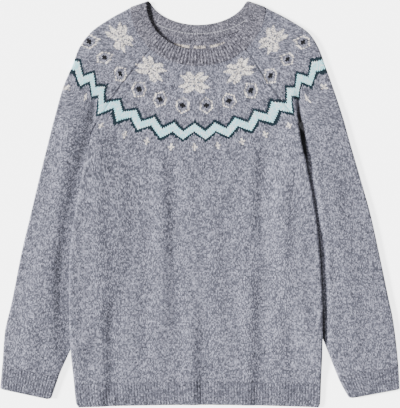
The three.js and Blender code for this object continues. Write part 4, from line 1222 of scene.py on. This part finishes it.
def wool(name, surface="stocking", tone=0.0, relief_depth=0.7, marl=MARL):
    material = bpy.data.materials.new(name)
    material.use_nodes = True
    tree = material.node_tree
    shader = tree.nodes["Principled BSDF"]
    knit = stitch_grid(tree, surface in ("stocking", "purl"), surface in ("rib", "neckband"),
                       0.0 if surface == "purl" else SLANT)
    colour, fleck, knit["chance"], place = marled_yarn(tree, knit, tone, marl)
    layers = PATTERNS[surface](tree, knit) if surface in PATTERNS else ()
    patchy = add(tree, "Math.MULTIPLY_ADD", knit["chance"], 0.5, fleck)
    thin = add(tree, "MapRange", patchy, 0.5, 0.95, 0.12, 1.0)
    frosted = add(tree, "Mix", add(tree, "MapRange", patchy, 0.66, 1.1, 0.0, 1.0), *(None,) * 5, linear(AQUA),
                  linear(FROST), data_type="RGBA").node.outputs[2]
    for mask, code in layers:
        mask = add(tree, "Math.MULTIPLY", mask, thin) if code in (CREAM, FLOAT) else mask
        dyed = frosted if code == AQUA else linear(code)
        colour = add(tree, "Mix", mask, *(None,) * 5, colour, dyed, data_type="RGBA").node.outputs[2]

    # each leg is a rounded strand, and shade is painted into the gaps between them
    leg = add(tree, "Math.MULTIPLY_ADD", knit["aside"], 4.0, -1.0)
    strand = add(tree, "Math.SUBTRACT", 1.0, add(tree, "Math.MULTIPLY", leg, leg))
    along = add(tree, "Math.MULTIPLY_ADD", add(tree, "Math.FRACT", knit["course"]), 2.0, -1.0)
    loop = add(tree, "Math.MULTIPLY_ADD", add(tree, "Math.MULTIPLY", along, along), -0.6, 1.0)
    relief = loop if surface == "purl" else add(tree, "Math.MULTIPLY", strand, loop)
    fuzz = add(tree, "Math.MULTIPLY_ADD", fleck, 0.8, relief)
    depth = add(tree, "MapRange", relief, 0.0, 0.7, 0.5, 1.0)
    # shade is painted into the valleys of the rib, less of it on the inside of the neckband and towards its
    # shoulders
    if surface in ("rib", "neckband"):
        valley = add(tree, "Math.COSINE", add(tree, "Math.MULTIPLY", knit["turns"], math.pi))
        furrow = add(tree, "MapRange", valley, -1.0, 0.6, 0.86, 1.0)
        if surface == "neckband":
            inner = add(tree, "Math.GREATER_THAN", knit["course"], RIM_ROW)
            beyond = add(tree, "Math.GREATER_THAN", knit["course"], CHAIN_ROW)
            across = add(tree, "Math.ADD", add(tree, "SeparateXYZ", place), -NECK_X * MM)
            aside = add(tree, "Math.ABSOLUTE", across)
            least = add(tree, "MapRange", aside, 0.06, 0.095, 0.78, 0.93)
            furrow = add(tree, "Math.MAXIMUM", add(tree, "MapRange", valley, -1.0, 0.6, least, 1.0),
                         add(tree, "Math.MULTIPLY_ADD", beyond, -0.1, add(tree, "Math.MULTIPLY", inner, 0.92)))
        depth = add(tree, "Math.MULTIPLY", depth, furrow)
    # shade painted into the creases and seams, read from the attribute, darkens the colour
    deep = add(tree, "Attribute", attribute_name="deep").node.outputs["Fac"]
    depth = add(tree, "Math.MULTIPLY", depth, add(tree, "MapRange", deep, 0.1, 1.0, 1.0, DARKEST_PAINTED_SHADE))
    shaded = add(tree, "Mix", 1.0, *(None,) * 5, colour, depth, data_type="RGBA", blend_type="MULTIPLY").node
    tree.links.new(shaded.outputs[2], shader.inputs["Base Color"])
    bump = add(tree, "Bump", relief_depth, 0.0006).node
    bump.inputs["Distance"].default_value = 0.0007
    tree.links.new(fuzz, bump.inputs["Height"])
    tree.links.new(bump.outputs[0], shader.inputs["Normal"])
    shader.inputs["Roughness"].default_value = 0.92
    shader.inputs["Specular IOR Level"].default_value = 0.2
    shader.inputs["Sheen Weight"].default_value = 0.06
    shader.inputs["Sheen Roughness"].default_value = 0.6
    return material


yoke_wool = wool("lambswool_stocking_stitch", relief_depth=0.55)
purl_wool = wool("lambswool_purl_side", "purl", tone=-0.12, marl=NECK_MARL)
rib_wool = wool("lambswool_rib", "rib", tone=-0.03)
neck_wool = wool("lambswool_neckband", "neckband", tone=-0.035, marl=NECK_MARL)
for made in (yoke_wool, purl_wool, rib_wool, neck_wool):
    print(made.name, len(made.node_tree.nodes), "nodes")

# %% [markdown]
# Each piece gets its wool, is attached to the root and takes the place of its plain solid, which is hidden.

# %% Dressing the pieces
for node, piece in pieces.items():
    kind = piece.name.split("_")[0]
    piece.data.materials.append(neck_wool if node == "neckband" else rib_wool if kind == "rib" else yoke_wool)
    if kind != "rib":
        piece.data.materials.append(purl_wool)
    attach(piece, "root")
    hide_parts(node)
print(len(pieces), "pieces stand for", sorted(pieces))

# %% [markdown]
# The jumper lies on a white table. One low lamp from the left picks out the stitches and the creases, and an
# even light from all round fills the shadows. The table glows, so that it stays pale beside the grey wool. It
# lies a little below the cloth, since two surfaces in one plane would flicker.

# %% Floor, light
FLOOR_HALF, FLOOR_BELOW, FLOOR_GLOW = 6.0, 0.0004, 3.0    # metres, metres, strength
FILL, SUN, SUN_SOFTNESS = 0.75, 12.5, math.radians(14)
LAMP_HEIGHT, LAMP_SIDE, LAMP_AWAY = math.radians(30), math.radians(176), 3

floor = bpy.data.meshes.new("floor")
bm = bmesh.new()
bmesh.ops.create_grid(bm, x_segments=1, y_segments=1, size=FLOOR_HALF)
bmesh.ops.translate(bm, verts=bm.verts, vec=(0.0, 0.0, -FLOOR_BELOW))
bm.to_mesh(floor)
bm.free()
table = bpy.data.objects.new("floor", floor)
bpy.context.scene.collection.objects.link(table)
white = bpy.data.materials.new("white_table")
white.use_nodes = True
surface = white.node_tree.nodes["Principled BSDF"]
surface.inputs["Base Color"].default_value = linear("#fbfbfb")
surface.inputs["Roughness"].default_value = 0.7
surface.inputs["Emission Color"].default_value = linear("#ffffff")
surface.inputs["Emission Strength"].default_value = FLOOR_GLOW
floor.materials.append(white)

world = bpy.data.worlds.new("studio")
world.use_nodes = True
world.node_tree.nodes["Background"].inputs["Color"].default_value = linear("#ffffff")
world.node_tree.nodes["Background"].inputs["Strength"].default_value = FILL
bpy.context.scene.world = world
light = bpy.data.lights.new("softbox", "SUN")
light.angle = SUN_SOFTNESS
light.energy = SUN
lamp = bpy.data.objects.new("softbox", light)
bpy.context.scene.collection.objects.link(lamp)
lamp.location = (LAMP_AWAY * math.cos(LAMP_SIDE) * math.cos(LAMP_HEIGHT),
                 LAMP_AWAY * math.sin(LAMP_SIDE) * math.cos(LAMP_HEIGHT), LAMP_AWAY * math.sin(LAMP_HEIGHT))
lamp.rotation_euler = lamp.location.to_track_quat("Z", "Y").to_euler()
print("lamp at", [round(v, 2) for v in lamp.location], "m, floor", FLOOR_BELOW, "m below the cloth")
